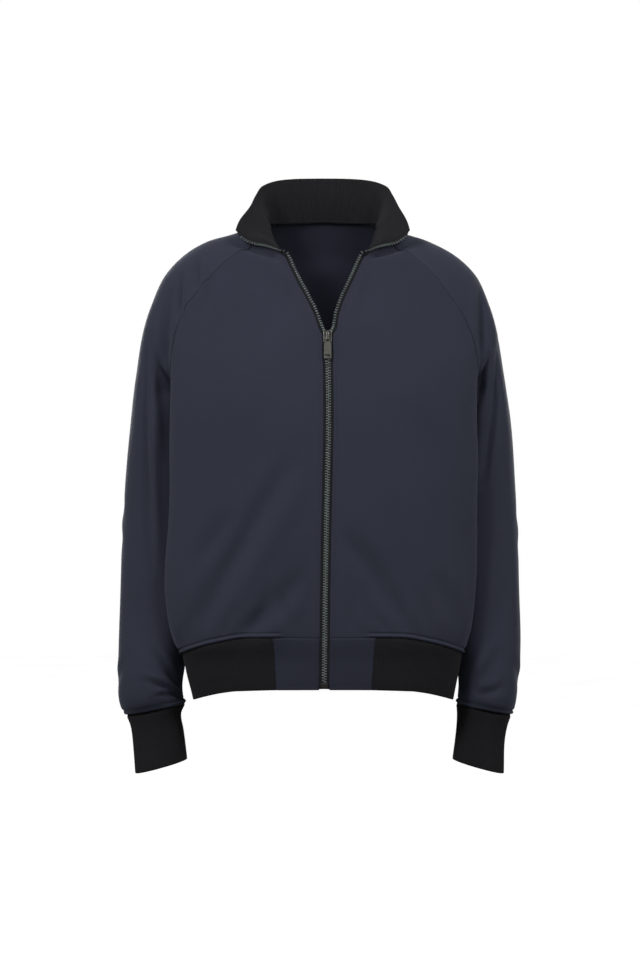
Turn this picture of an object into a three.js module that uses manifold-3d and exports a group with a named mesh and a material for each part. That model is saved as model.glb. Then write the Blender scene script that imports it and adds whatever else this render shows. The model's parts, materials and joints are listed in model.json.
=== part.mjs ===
import * as THREE from 'three';
import { mergeVertices } from 'three/addons/utils/BufferGeometryUtils.js';
import Module from 'manifold-3d';

// Zip-up sweatshirt with raglan sleeves, rib collar, cuffs and hem, kept in its worn form.
// Millimetres. +Z is up, the wearer faces -Y and +X is the wearer's left.
// The origin is the middle of the neck base, level with the top of the shoulders.

// Cloth
const bodyWall = 2.0;
const ribWall = 2.4;
const collarWall = 2.8;
const seamHold = 0.16;
const sharpFold = 0.02;
const collarHold = 0.5;
const cornerHold = 1.6;
const armpitHold = 0.5;
const armpitReach = 45;

// Grid sizes
const hemRows = 3;
const lowerRows = 12;
const capRows = 14;
const sleeveRows = 17;
const frontColumns = 14;
const tabColumns = 3;
const backColumns = 16;
const sleeveHalfColumns = 9;
const collarRows = 4;
const cuffRows = 4;
const traceSteps = 72;
const cornerSteps = 4;
const samePlace = 0.002;

// Zip
const zipClear = 0.3;
const tapeReveal = 2.3;
const tapeThick = 1.1;
const toothReach = 3.1;
const toothThick = 2.4;
const zipHalf = zipClear * 3 + tapeReveal + toothReach;
// Where the strips turn to follow the open neck, they stand a little further from the cloth.
const twistPasses = 2;
const twistClear = 1.3;
// Slider: measured from its own middle, near and far counted outwards from the middle of the tape.
const slider = {
  z: -146.7,
  halfWide: 5,
  halfTall: 7.3,
  plateNear: 1.6,
  plateFar: 2.9,
  flange: 0.8,
  flangeNear: 0.95,
  flangeHigh: -1,
  postHalf: 0.8,
  post: [4.3, 7.3],
  bite: 0.1,
};
const bail = { halfWide: 1.2, far: 6.9, low: -5.1, high: 4.6, leg: 1.25 };
const pull = {
  out: 4.15,
  thick: 1.6,
  top: -1.8,
  bar: 1.6,
  neckHalf: 3.3,
  shoulder: -9.4,
  tabHalf: 4.6,
  bottom: -29.6,
  corner: 1,
  eyeHalf: 2.1,
  eyeLow: -7.8,
  slotHalf: 3.1,
  slotLow: -27.9,
  slotHigh: -24.4,
  tongueHalf: 1.4,
  tongueTop: -26.1,
  eyeCorner: 0.4,
};

const colours = {
  cloth: 0x30353f,
  rib: 0x1d1d21,
  tape: 0x3a3f45,
  teeth: 0x8d9290,
  slider: 0x6f6d69,
};

// Torso sections. half: reach to each side. front, back: reach from the middle.
// square: how boxy the section is. press: how far the hanging arm pushes the side in.
const torso = [
  { z: -612, halfRight: 184, halfLeft: 183, front: 116, back: 100, square: 2.6, press: 16, pressY: -4 },
  { z: -580, halfRight: 192, halfLeft: 189, front: 118, back: 102, square: 2.7, press: 20, pressY: -2 },
  { z: -553, halfRight: 197, halfLeft: 194, front: 119, back: 104, square: 2.8, press: 24, pressY: 0 },
  { z: -538, halfRight: 206, halfLeft: 200, front: 121, back: 107, square: 2.9, press: 34, pressY: 2 },
  { z: -510, halfRight: 213, halfLeft: 205, front: 123, back: 109, square: 3.0, press: 44, pressY: 6 },
  { z: -461, halfRight: 216, halfLeft: 207, front: 124, back: 110, square: 3.0, press: 52, pressY: 12 },
  { z: -380, halfRight: 208, halfLeft: 206, front: 125, back: 112, square: 3.0, press: 52, pressY: 18 },
  { z: -300, halfRight: 206, halfLeft: 206, front: 125, back: 116, square: 3.0, press: 50, pressY: 20 },
  { z: -226, halfRight: 206, halfLeft: 207, front: 123, back: 120, square: 3.0, press: 48, pressY: 17 },
  { z: -185, halfRight: 208, halfLeft: 209, front: 118, back: 121, square: 2.8, press: 22, pressY: 15 },
  { z: -140, halfRight: 214, halfLeft: 211, front: 109, back: 119, square: 2.5, press: 0, pressY: 14 },
  { z: -95, halfRight: 216, halfLeft: 209, front: 98, back: 114, square: 2.3, press: 0, pressY: 14 },
  { z: -60, halfRight: 203, halfLeft: 197, front: 88, back: 106, square: 2.2, press: 0, pressY: 14 },
  { z: -35, halfRight: 182, halfLeft: 176, front: 78, back: 97, square: 2.2, press: 0, pressY: 14 },
  { z: -12, halfRight: 142, halfLeft: 137, front: 52, back: 84, square: 2.2, press: 0, pressY: 14 },
  { z: 14, halfRight: 80, halfLeft: 80, front: 34, back: 68, square: 2.2, press: 0, pressY: 14 },
];
const pressWidth = 58;
const backNeckHeight = 14;

// Hem seam and hem edge: height by angle round the body, 0 at the centre front, 180 at the back.
const hemLine = [
  { angle: -10, seam: -527, edge: -591 },
  { angle: 40, seam: -527, edge: -592 },
  { angle: 52, seam: -534, edge: -596 },
  { angle: 70, seam: -549, edge: -607 },
  { angle: 95, seam: -555, edge: -609 },
  { angle: 180, seam: -552, edge: -606 },
];

// Line of the closed zip, then the two edges of the open neck above it.
const zipLine = [
  { z: -620, x: 0.4 },
  { z: -450, x: 2.4 },
  { z: -355, x: 4.2 },
  { z: -250, x: 6.2 },
  { z: -145, x: 5.0 },
];
const neckEdge = [
  { rise: 0, z: -145, right: -5.0, left: 5.0 },
  { rise: 0.1, z: -137, right: -0.5, left: 10.2 },
  { rise: 0.3, z: -118, right: 6, left: 13.5 },
  { rise: 0.5, z: -98, right: 15.8, left: 20.4 },
  { rise: 0.72, z: -76, right: 27.5, left: 30.5 },
  { rise: 0.88, z: -57, right: 36.5, left: 39 },
  { rise: 1, z: -41, right: 44, left: 46.5 },
];
const zipShare = 0.36;

// Raglan seams on the torso, from the underarm (0) to the neck (1).
const raglanFront = [
  { t: 0, z: -226, angle: 95 },
  { t: 0.2, z: -197, angle: 77.7 },
  { t: 0.36, z: -164, angle: 73 },
  { t: 0.5, z: -128, angle: 71 },
  { t: 0.64, z: -92, angle: 67.2 },
  { t: 0.76, z: -63, angle: 63.8 },
  { t: 0.88, z: -37, angle: 58.8 },
  { t: 1, z: -12, angle: 55 },
];
const raglanBack = [
  { t: 0, z: -226, angle: 95 },
  { t: 0.2, z: -190, angle: 108 },
  { t: 0.36, z: -152, angle: 113 },
  { t: 0.5, z: -116, angle: 115 },
  { t: 0.64, z: -80, angle: 116 },
  { t: 0.76, z: -50, angle: 118 },
  { t: 0.88, z: -20, angle: 121 },
  { t: 1, z: 11, angle: 126 },
];

// Sleeve: 0 at the neck, 1 at the underarm, 2 at the cuff seam.
// The outer line runs over the shoulder and down the arm.
const sleeveOuter = [
  { at: 0, right: 75, left: 75, y: 3, z: 9 },
  { at: 0.15, right: 113, left: 103, y: 6, z: -6 },
  { at: 0.3, right: 151, left: 135, y: 8, z: -17 },
  { at: 0.45, right: 184, left: 173, y: 10, z: -37 },
  { at: 0.6, right: 209, left: 201, y: 12, z: -64 },
  { at: 0.75, right: 224, left: 216, y: 13, z: -100 },
  { at: 0.88, right: 235, left: 226, y: 15, z: -140 },
  { at: 1, right: 243, left: 234, y: 17, z: -184 },
  { at: 1.06, right: 248, left: 239, y: 18, z: -214 },
  { at: 1.15, right: 252, left: 244, y: 19, z: -250 },
  { at: 1.3, right: 257, left: 249, y: 20, z: -312 },
  { at: 1.5, right: 263, left: 254, y: 18, z: -400 },
  { at: 1.7, right: 265, left: 255.5, y: 8, z: -482 },
  { at: 1.85, right: 266, left: 255, y: -3, z: -550 },
  { at: 1.95, right: 265.5, left: 251, y: -11, z: -602 },
  { at: 1.985, right: 262, left: 248, y: -13, z: -621 },
  { at: 2, right: 255, left: 243.5, y: -14, z: -631 },
];
// The underarm seam starts just under the armpit.
const sleeveInner = [
  { at: 1.04, right: 170, left: 170, y: 15, z: -237 },
  { at: 1.15, right: 176, left: 175, y: 16, z: -266 },
  { at: 1.3, right: 173, left: 171, y: 18, z: -320 },
  { at: 1.5, right: 170, left: 168, y: 17, z: -402 },
  { at: 1.7, right: 171, left: 168, y: 8, z: -480 },
  { at: 1.85, right: 178, left: 172, y: -3, z: -543 },
  { at: 1.95, right: 182, left: 175, y: -11, z: -588 },
  { at: 1.985, right: 181.5, left: 174.5, y: -13, z: -605 },
  { at: 2, right: 178, left: 172.5, y: -14, z: -616 },
];
// depth: half the sleeve's depth. wrap: 0 where a row crosses the shoulder, 1 where it rounds
// the arm. turn and splay: how far a row leaves the seam forwards or backwards, and outwards.
const sleeveFull = [
  { at: 0, depth: 50, wrap: 0, turn: 0, splay: 0 },
  { at: 0.55, depth: 60, wrap: 0, turn: 0, splay: 0 },
  { at: 0.64, depth: 60, wrap: 0.15, turn: 0, splay: 2 },
  { at: 0.72, depth: 62, wrap: 0.45, turn: 0.08, splay: 12 },
  { at: 0.8, depth: 64, wrap: 0.75, turn: 0.25, splay: 27 },
  { at: 0.86, depth: 65, wrap: 0.9, turn: 0.5, splay: 42 },
  { at: 0.93, depth: 66, wrap: 1, turn: 0.75, splay: 50 },
  { at: 1, depth: 66, wrap: 1, turn: 0.85, splay: 48 },
  { at: 1.08, depth: 66, wrap: 1, turn: 1, splay: 32 },
  { at: 1.15, depth: 65, wrap: 1, turn: 1, splay: 18 },
  { at: 1.3, depth: 62, wrap: 1, turn: 1, splay: 0 },
  { at: 1.5, depth: 57, wrap: 1, turn: 1, splay: 0 },
  { at: 1.7, depth: 53, wrap: 1, turn: 1, splay: 0 },
  { at: 1.85, depth: 51, wrap: 1, turn: 1, splay: 0 },
  { at: 1.95, depth: 49, wrap: 1, turn: 1, splay: 0 },
  { at: 1.985, depth: 46, wrap: 1, turn: 1, splay: 0 },
  { at: 2, depth: 38, wrap: 1, turn: 1, splay: 0 },
];
const shoulderLean = 0.25;
// Handle lengths that make a curve a quarter and a half of an ellipse.
const handleShare = 0.55;
const halfEllipse = 4 / 3;

// Cuffs: 0 at the cuff seam, 1 at the wrist edge. The outer line, the inner line and half the depth.
const cuffOuter = [
  { at: 0, right: 255, left: 243.5, y: -14, z: -631 },
  { at: 0.2, right: 249, left: 238, y: -16, z: -646 },
  { at: 0.5, right: 246, left: 234, y: -18, z: -668 },
  { at: 1, right: 243, left: 232.5, y: -22, z: -705 },
];
const cuffInner = [
  { at: 0, right: 178, left: 172.5, y: -14, z: -616, depth: 38 },
  { at: 0.2, right: 184, left: 173.5, y: -16, z: -630, depth: 34.5 },
  { at: 0.5, right: 181, left: 172, y: -18, z: -651, depth: 33.5 },
  { at: 1, right: 176.5, left: 166.5, y: -22, z: -687, depth: 33 },
];

// Collar's top edge, by share of the half neckline: 0 at the front corner, 1 at the back.
// bow: how far the standing collar curves in towards the neck.
const collarTop = [
  { at: 0, right: 112, left: 110, y: -58, z: -9, bow: 0 },
  { at: 0.12, right: 107, left: 106, y: -40, z: 5, bow: 1 },
  { at: 0.25, right: 95, left: 97, y: -16, z: 24, bow: 3 },
  { at: 0.4, right: 88, left: 90, y: 12, z: 42, bow: 4 },
  { at: 0.55, right: 80, left: 82, y: 40, z: 57, bow: 4 },
  { at: 0.75, right: 56, left: 57, y: 72, z: 68, bow: 4 },
  { at: 1, right: 0, left: 0, y: 90, z: 72, bow: 4 },
];

// Largest folds, by width and height: a soft trough from one point towards a second, to a third.
// facing: -1 on the front, 1 on the back. width and depth are the trough's own.
const folds = [
  { x: -30, z: -290, viaX: -122, viaZ: -430, toX: -158, toZ: -520, width: 17, depth: 4.2, facing: -1 },
  { x: -22, z: -436, viaX: -66, viaZ: -500, toX: -104, toZ: -523, width: 14, depth: 3.4, facing: -1 },
  { x: -112, z: -360, viaX: -138, viaZ: -402, toX: -164, toZ: -440, width: 14, depth: 2.4, facing: -1 },
  { x: 14, z: -388, viaX: 62, viaZ: -432, toX: 96, toZ: -512, width: 16, depth: 3.8, facing: -1 },
  { x: 24, z: -430, viaX: 54, viaZ: -478, toX: 58, toZ: -512, width: 13, depth: 2.4, facing: -1 },
  { x: 142, z: -440, viaX: 150, viaZ: -470, toX: 156, toZ: -505, width: 13, depth: 1.8, facing: -1 },
  { x: -184, z: -66, viaX: -185, viaZ: -96, toX: -186, toZ: -124, width: 12, depth: 2.0, facing: -1 },
  { x: -226, z: -140, viaX: -230, viaZ: -250, toX: -222, toZ: -440, width: 12, depth: 3.2, facing: -1 },
  { x: 202, z: -80, viaX: 201, viaZ: -118, toX: 198, toZ: -158, width: 12, depth: 2.0, facing: -1 },
  { x: 224, z: -150, viaX: 218, viaZ: -235, toX: 206, toZ: -330, width: 12, depth: 3.2, facing: -1 },
  { x: -220, z: -530, viaX: -206, viaZ: -570, toX: -186, toZ: -598, width: 12, depth: 3.0, facing: -1 },
  { x: 226, z: -540, viaX: 212, viaZ: -574, toX: 190, toZ: -602, width: 12, depth: 2.6, facing: -1 },
  { x: -150, z: -230, viaX: -90, viaZ: -268, toX: -40, toZ: -330, width: 18, depth: 3.0, facing: 1 },
  { x: 152, z: -236, viaX: 96, viaZ: -280, toX: 52, toZ: -350, width: 18, depth: 3.0, facing: 1 },
  { x: -60, z: -400, viaX: -112, viaZ: -456, toX: -140, toZ: -530, width: 17, depth: 3.6, facing: 1 },
  { x: 44, z: -410, viaX: 84, viaZ: -470, toX: 124, toZ: -532, width: 17, depth: 3.6, facing: 1 },
  { x: -222, z: -260, viaX: -212, viaZ: -350, toX: -204, toZ: -430, width: 14, depth: 3.2, facing: 1 },
  { x: 214, z: -250, viaX: 206, viaZ: -330, toX: 200, toZ: -400, width: 14, depth: 3.2, facing: 1 },
];
const foldBeads = 12;

// ---- helpers ----

function mix(a, b, share) {
  return a + (b - a) * share;
}

function radians(degrees) {
  return degrees * Math.PI / 180;
}

// Smooth curve through a table's column, with the slope at each row taken from its neighbours.
function column(table, key, at, name) {
  const last = table.length - 1;
  const rising = table[last][key] > table[0][key];
  let row = 0;
  while (row < last - 1 && (rising ? at > table[row + 1][key] : at < table[row + 1][key])) {
    row += 1;
  }
  const span = table[row + 1][key] - table[row][key];
  const share = Math.min(1, Math.max(0, (at - table[row][key]) / span));
  const slope = (index) => {
    const low = Math.max(0, index - 1);
    const high = Math.min(last, index + 1);
    return (table[high][name] - table[low][name]) / (table[high][key] - table[low][key]) * span;
  };
  const square = share * share;
  const cube = square * share;
  return table[row][name] * (2 * cube - 3 * square + 1)
    + slope(row) * (cube - 2 * square + share)
    + table[row + 1][name] * (3 * square - 2 * cube)
    + slope(row + 1) * (cube - square);
}

// Point on the torso at an angle round it and a height. side is -1 for the wearer's right.
function torsoPoint(side, angle, z) {
  const sine = Math.sin(radians(angle));
  const cosine = Math.cos(radians(angle));
  const half = column(torso, 'z', z, side < 0 ? 'halfRight' : 'halfLeft');
  const depth = column(torso, 'z', z, cosine > 0 ? 'front' : 'back');
  const square = column(torso, 'z', z, 'square');
  const reach = (Math.abs(sine / half) ** square + Math.abs(cosine / depth) ** square) ** (-1 / square);
  const y = -reach * cosine;
  const nearArm = (y - column(torso, 'z', z, 'pressY')) / pressWidth;
  const press = column(torso, 'z', z, 'press') * Math.exp(-(nearArm ** 4)) * sine * sine;
  return new THREE.Vector3(side * (reach * sine - press), y, z);
}

// Angle of the torso point that lies a given way out from the middle of the front.
function frontAngle(side, out, z) {
  const half = column(torso, 'z', z, side < 0 ? 'halfRight' : 'halfLeft');
  const square = column(torso, 'z', z, 'square');
  const depth = column(torso, 'z', z, 'front') * (1 - (Math.abs(out) / half) ** square) ** (1 / square);
  return Math.atan2(out, depth) * 180 / Math.PI;
}

// Points spaced evenly along a curve given as a function of 0 to 1.
function evenly(curve, count) {
  const trace = [];
  const lengths = [0];
  for (let step = 0; step <= traceSteps; step += 1) {
    trace.push(curve(step / traceSteps));
    if (step > 0) {
      lengths.push(lengths[step - 1] + trace[step].distanceTo(trace[step - 1]));
    }
  }
  const points = [];
  let step = 0;
  for (let index = 0; index <= count; index += 1) {
    const target = lengths[traceSteps] * index / count;
    while (step < traceSteps - 1 && lengths[step + 1] < target) {
      step += 1;
    }
    const share = (target - lengths[step]) / (lengths[step + 1] - lengths[step]);
    points.push(trace[step].clone().lerp(trace[step + 1], Math.min(1, share)));
  }
  return points;
}

// Half an arc from one point to another, with a handle at each end.
function arc(start, startHandle, endHandle, end, count) {
  const curve = new THREE.CubicBezierCurve3(
    start,
    start.clone().add(startHandle),
    end.clone().add(endHandle),
    end,
  );
  return evenly((share) => curve.getPoint(share), count);
}

// ---- panels, as grids of points on the cloth's outer face ----

function zipX(z) {
  return column(zipLine, 'z', z, 'x');
}

// Where a row of the front panel starts, at the zip or at the open neck edge.
function frontStart(side, t) {
  if (t <= zipShare) {
    const z = mix(raglanFront[0].z, neckEdge[0].z, t / zipShare);
    return { out: side * zipX(z) + zipHalf, z };
  }
  const rise = (t - zipShare) / (1 - zipShare);
  const out = column(neckEdge, 'rise', rise, side < 0 ? 'right' : 'left') + zipHalf;
  return { out, z: column(neckEdge, 'rise', rise, 'z') };
}

function bodyRow(side, fromAngle, toAngle, heightAt, count) {
  return evenly((share) => {
    const angle = mix(fromAngle, toAngle, share);
    return torsoPoint(side, angle, heightAt(angle, share));
  }, count);
}

function hemHeight(angle, share) {
  return mix(column(hemLine, 'angle', angle, 'edge'), column(hemLine, 'angle', angle, 'seam'), share);
}

function frontGrid(side) {
  const rows = [];
  const sideAngle = raglanFront[0].angle;
  for (let row = 0; row <= lowerRows; row += 1) {
    const share = row / lowerRows;
    const height = (angle) => mix(hemHeight(angle, 1), raglanFront[0].z, share);
    const z = height(0);
    const start = frontAngle(side, side * zipX(z) + zipHalf, z);
    rows.push(bodyRow(side, start, sideAngle, height, frontColumns));
  }
  for (let row = 1; row <= capRows; row += 1) {
    const t = row / capRows;
    const start = frontStart(side, t);
    const fromAngle = frontAngle(side, start.out, start.z);
    const toAngle = column(raglanFront, 't', t, 'angle');
    const seamZ = column(raglanFront, 't', t, 'z');
    const height = (angle, share) => mix(start.z, seamZ, share);
    rows.push(bodyRow(side, fromAngle, toAngle, height, frontColumns));
  }
  return rows;
}

function hemGrid(side) {
  const rows = [];
  for (let row = 0; row <= hemRows; row += 1) {
    const share = row / hemRows;
    const height = (angle) => hemHeight(angle, share);
    const start = frontAngle(side, side * zipX(height(0)) + zipHalf, height(0));
    rows.push(bodyRow(side, start, raglanFront[0].angle, height, frontColumns));
  }
  return rows;
}

// Back rows run from the wearer's right to the left.
function backRow(toAngle, heightAt) {
  const half = backColumns / 2;
  const right = bodyRow(-1, toAngle, 180, heightAt, half);
  const left = bodyRow(1, toAngle, 180, heightAt, half);
  return [...right, ...left.reverse().slice(1)];
}

function backGrid() {
  const rows = [];
  for (let row = 0; row <= lowerRows; row += 1) {
    const height = (angle) => mix(hemHeight(angle, 1), raglanBack[0].z, row / lowerRows);
    rows.push(backRow(raglanBack[0].angle, height));
  }
  for (let row = 1; row <= capRows; row += 1) {
    const t = row / capRows;
    const seamZ = column(raglanBack, 't', t, 'z');
    const middleZ = mix(raglanBack[0].z, backNeckHeight, t);
    const toAngle = column(raglanBack, 't', t, 'angle');
    rows.push(backRow(toAngle, (angle, share) => mix(seamZ, middleZ, share)));
  }
  return rows;
}

function hemBackGrid() {
  const rows = [];
  for (let row = 0; row <= hemRows; row += 1) {
    rows.push(backRow(raglanBack[0].angle, (angle) => hemHeight(angle, row / hemRows)));
  }
  return rows;
}

function seamPoint(seam, side, t) {
  return torsoPoint(side, column(seam, 't', t, 'angle'), column(seam, 't', t, 'z'));
}

// One row of the sleeve, from the front seam over the outer line to the back seam.
function sleeveRow(frontSeam, outer, backSeam, { depth, wrap = 1, turn = 1, splay = 0 }) {
  const halves = [];
  for (const [seam, facing] of [[frontSeam, -1], [backSeam, 1]]) {
    const seamHandle = outer.clone().sub(seam);
    seamHandle.y = 0;
    seamHandle.multiplyScalar(handleShare * (1 - wrap));
    seamHandle.x += Math.sign(outer.x) * splay;
    const alongDepth = outer.y - seam.y;
    seamHandle.y = (facing * depth * halfEllipse + alongDepth) * turn;
    seamHandle.y += alongDepth * shoulderLean * (1 - wrap);
    const roundDepth = handleShare * Math.abs(alongDepth);
    const outerHandle = new THREE.Vector3(0, facing * mix(roundDepth, depth * halfEllipse, wrap), 0);
    halves.push(arc(seam, seamHandle, outerHandle, outer, sleeveHalfColumns));
  }
  return [...halves[0], ...halves[1].reverse().slice(1)];
}

function sleeveFullness(at) {
  return {
    depth: column(sleeveFull, 'at', at, 'depth'),
    wrap: column(sleeveFull, 'at', at, 'wrap'),
    turn: column(sleeveFull, 'at', at, 'turn'),
    splay: column(sleeveFull, 'at', at, 'splay'),
  };
}

// Point on a line that a table gives for both sides.
function linePoint(table, side, at) {
  return new THREE.Vector3(
    side * column(table, 'at', at, side < 0 ? 'right' : 'left'),
    column(table, 'at', at, 'y'),
    column(table, 'at', at, 'z'),
  );
}

function sleeveGrid(side) {
  const armpit = seamPoint(raglanFront, side, 0);
  const innerTable = [
    { at: 1, right: -armpit.x, left: armpit.x, y: armpit.y, z: armpit.z },
    ...sleeveInner,
  ];
  const rows = [];
  for (let row = 0; row <= sleeveRows; row += 1) {
    const at = 2 - row / sleeveRows;
    const inner = linePoint(innerTable, side, at);
    rows.push(sleeveRow(inner, linePoint(sleeveOuter, side, at), inner.clone(), sleeveFullness(at)));
  }
  for (let row = 1; row <= capRows; row += 1) {
    const t = row / capRows;
    const frontSeam = seamPoint(raglanFront, side, t);
    const backSeam = seamPoint(raglanBack, side, t);
    rows.push(sleeveRow(frontSeam, linePoint(sleeveOuter, side, 1 - t), backSeam, sleeveFullness(1 - t)));
  }
  return rows;
}

function cuffGrid(side) {
  const rows = [];
  for (let row = 0; row <= cuffRows; row += 1) {
    const at = 1 - row / cuffRows;
    const inner = linePoint(cuffInner, side, at);
    const depth = column(cuffInner, 'at', at, 'depth');
    rows.push(sleeveRow(inner, linePoint(cuffOuter, side, at), inner.clone(), { depth }));
  }
  return rows;
}

// The collar stands on the neckline left by the other panels. Each of its lines from the foot
// to the top edge is a curve whose middle handle lies twice as far in as the curve bows.
function collarGrid(neckline) {
  const lengths = [0];
  for (let index = 1; index < neckline.length; index += 1) {
    lengths.push(lengths[index - 1] + neckline[index].distanceTo(neckline[index - 1]));
  }
  const total = lengths[lengths.length - 1];
  const rows = Array.from({ length: collarRows + 1 }, () => []);
  neckline.forEach((foot, index) => {
    const round = lengths[index] / total;
    const at = 2 * Math.min(round, 1 - round);
    const topPoint = linePoint(collarTop, round < 1 / 2 ? -1 : 1, at);
    const inwards = new THREE.Vector3(-foot.x, -foot.y, 0).normalize();
    const handle = foot.clone().add(topPoint).divideScalar(2);
    handle.addScaledVector(inwards, 2 * column(collarTop, 'at', at, 'bow'));
    const curve = new THREE.QuadraticBezierCurve3(foot, handle, topPoint);
    for (let row = 0; row <= collarRows; row += 1) {
      rows[row].push(curve.getPoint(row / collarRows));
    }
  });
  return rows;
}

// ---- walls ----

function placeKey(point) {
  return [point.x, point.y, point.z].map((value) => Math.round(value / samePlace)).join(',');
}

// A panel holds its grid, and which rows are sewn into a tube.
function makePanel(name, rows, options = {}) {
  const { wall = bodyWall, hold = seamHold, flip = false, tubeRows = -1, colour = colours.cloth } = options;
  const columns = rows[0].length;
  const points = rows.flat();
  const ids = rows.map((line, row) => line.map((point, index) => {
    const joined = row <= tubeRows && index === columns - 1;
    return row * columns + (joined ? 0 : index);
  }));
  const faces = [];
  for (let row = 0; row < rows.length - 1; row += 1) {
    for (let index = 0; index < columns - 1; index += 1) {
      const quad = [ids[row][index], ids[row][index + 1], ids[row + 1][index + 1], ids[row + 1][index]];
      if (flip) {
        quad.reverse();
      }
      // Each four-sided patch is split along its shorter diagonal.
      const [a, b, c, d] = quad;
      if (points[a].distanceTo(points[c]) <= points[b].distanceTo(points[d])) {
        faces.push([a, b, c], [a, c, d]);
      } else {
        faces.push([a, b, d], [b, c, d]);
      }
    }
  }
  return { name, columns, ids, faces, wall, hold, tubeRows, colour, points };
}

function faceNormals(panel) {
  const normals = panel.points.map(() => new THREE.Vector3());
  const first = new THREE.Vector3();
  const second = new THREE.Vector3();
  for (const [a, b, c] of panel.faces) {
    first.subVectors(panel.points[b], panel.points[a]);
    second.subVectors(panel.points[c], panel.points[a]);
    first.cross(second);
    for (const id of [a, b, c]) {
      normals[id].add(first);
    }
  }
  return normals.map((normal) => normal.normalize());
}

// How far the folds move a point of the cloth inwards. Each trough is a row of soft round
// dips laid along its line, shallower towards both ends.
function foldDepth(point, normal) {
  let sum = 0;
  for (const fold of folds) {
    const facing = Math.max(0, normal.y * fold.facing);
    const first = new THREE.Vector2(fold.x, fold.z);
    const via = new THREE.Vector2(fold.viaX, fold.viaZ);
    const last = new THREE.Vector2(fold.toX, fold.toZ);
    const line = new THREE.QuadraticBezierCurve(first, via, last);
    const spacing = (first.distanceTo(via) + via.distanceTo(last)) / foldBeads;
    let dips = 0;
    for (let bead = 0; bead < foldBeads; bead += 1) {
      const share = (bead + 0.5) / foldBeads;
      const gap = line.getPoint(share).distanceTo(new THREE.Vector2(point.x, point.z)) / fold.width;
      dips += Math.sin(Math.PI * share) * Math.exp(-gap * gap);
    }
    sum += fold.depth * dips * spacing / (Math.sqrt(Math.PI) * fold.width) * Math.sqrt(facing);
  }
  return sum;
}

function addFolds(panels) {
  for (const panel of panels) {
    for (const id of panel.pulls.keys()) {
      const normal = panel.normals[id];
      panel.points[id].addScaledVector(normal, -foldDepth(panel.points[id], normal));
    }
  }
}

// Way a seam vertex is held back: across the seam, towards the middle of its own panel.
function holdBack(panel, row, index) {
  const { ids, points, columns, tubeRows } = panel;
  const lastRow = ids.length - 1;
  const lastColumn = columns - 1;
  const at = (someRow, someIndex) => points[ids[someRow][someIndex]];
  const here = at(row, index);
  const armpit = seamPoint(raglanFront, Math.sign(here.x), 0);
  const nearness = Math.max(0, 1 - armpit.distanceTo(here) / armpitReach);
  const hold = panel.hold + armpitHold * nearness;
  const pull = new THREE.Vector3();
  let seams = 0;
  const add = (inside, seamFrom, seamTo) => {
    seams += 1;
    const way = inside.clone().sub(here);
    const seam = seamTo.clone().sub(seamFrom).normalize();
    way.addScaledVector(seam, -way.dot(seam));
    pull.addScaledVector(way.normalize(), hold);
  };
  const before = at(Math.max(0, row - 1), index);
  const after = at(Math.min(lastRow, row + 1), index);
  const across = [at(row, Math.max(0, index - 1)), at(row, Math.min(lastColumn, index + 1))];
  if (row === 0) {
    add(after, ...across);
  }
  if (row === lastRow) {
    add(before, ...across);
  }
  if (row > tubeRows && index === 0) {
    add(at(row, 1), before, after);
  }
  if (row > tubeRows && index === lastColumn) {
    add(at(row, lastColumn - 1), before, after);
  }
  if (row === tubeRows && index === 0 && row < lastRow) {
    add(before, at(row, 1), at(row, lastColumn - 1));
  }
  const isCorner = seams === 2;
  return { pull: pull.multiplyScalar(isCorner ? cornerHold : 1), share: isCorner ? 1 : 2 };
}

function holdBacks(panel) {
  const pulls = new Map();
  panel.ids.forEach((line, row) => line.forEach((id, index) => {
    if (!pulls.has(id)) {
      pulls.set(id, holdBack(panel, row, index));
    }
  }));
  return pulls;
}

// Panels that meet at a seam share one direction there, so that their walls line up.
// In a sharp fold the two faces look at each other, and the direction is the way both panels lead.
function shareNormals(panels) {
  const facing = new Map();
  const leading = new Map();
  const meeting = new Map();
  for (const panel of panels) {
    panel.normals = faceNormals(panel);
    panel.pulls = holdBacks(panel);
    for (const [id, { pull, share }] of panel.pulls) {
      const key = placeKey(panel.points[id]);
      const way = pull.clone().normalize();
      facing.set(key, (facing.get(key) ?? new THREE.Vector3()).addScaledVector(panel.normals[id], share));
      leading.set(key, (leading.get(key) ?? new THREE.Vector3()).addScaledVector(way, share));
      meeting.set(key, (meeting.get(key) ?? 0) + share);
    }
  }
  for (const panel of panels) {
    for (const id of panel.pulls.keys()) {
      const key = placeKey(panel.points[id]);
      const sum = facing.get(key).clone();
      const sharpness = 1 - sum.length() / meeting.get(key);
      if (sharpness > sharpFold) {
        sum.addScaledVector(leading.get(key), sharpness);
      }
      panel.normals[id] = sum.normalize();
    }
  }
}

function meshFrom(name, positions, triangles, colour, { roughness = 0.9, metalness = 0 } = {}) {
  const geometry = new THREE.BufferGeometry();
  geometry.setAttribute('position', new THREE.Float32BufferAttribute(positions, 3));
  geometry.setIndex(triangles);
  geometry.computeVertexNormals();
  const material = new THREE.MeshStandardMaterial({ color: colour, roughness, metalness });
  const mesh = new THREE.Mesh(geometry, material);
  mesh.name = name;
  return mesh;
}

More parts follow.
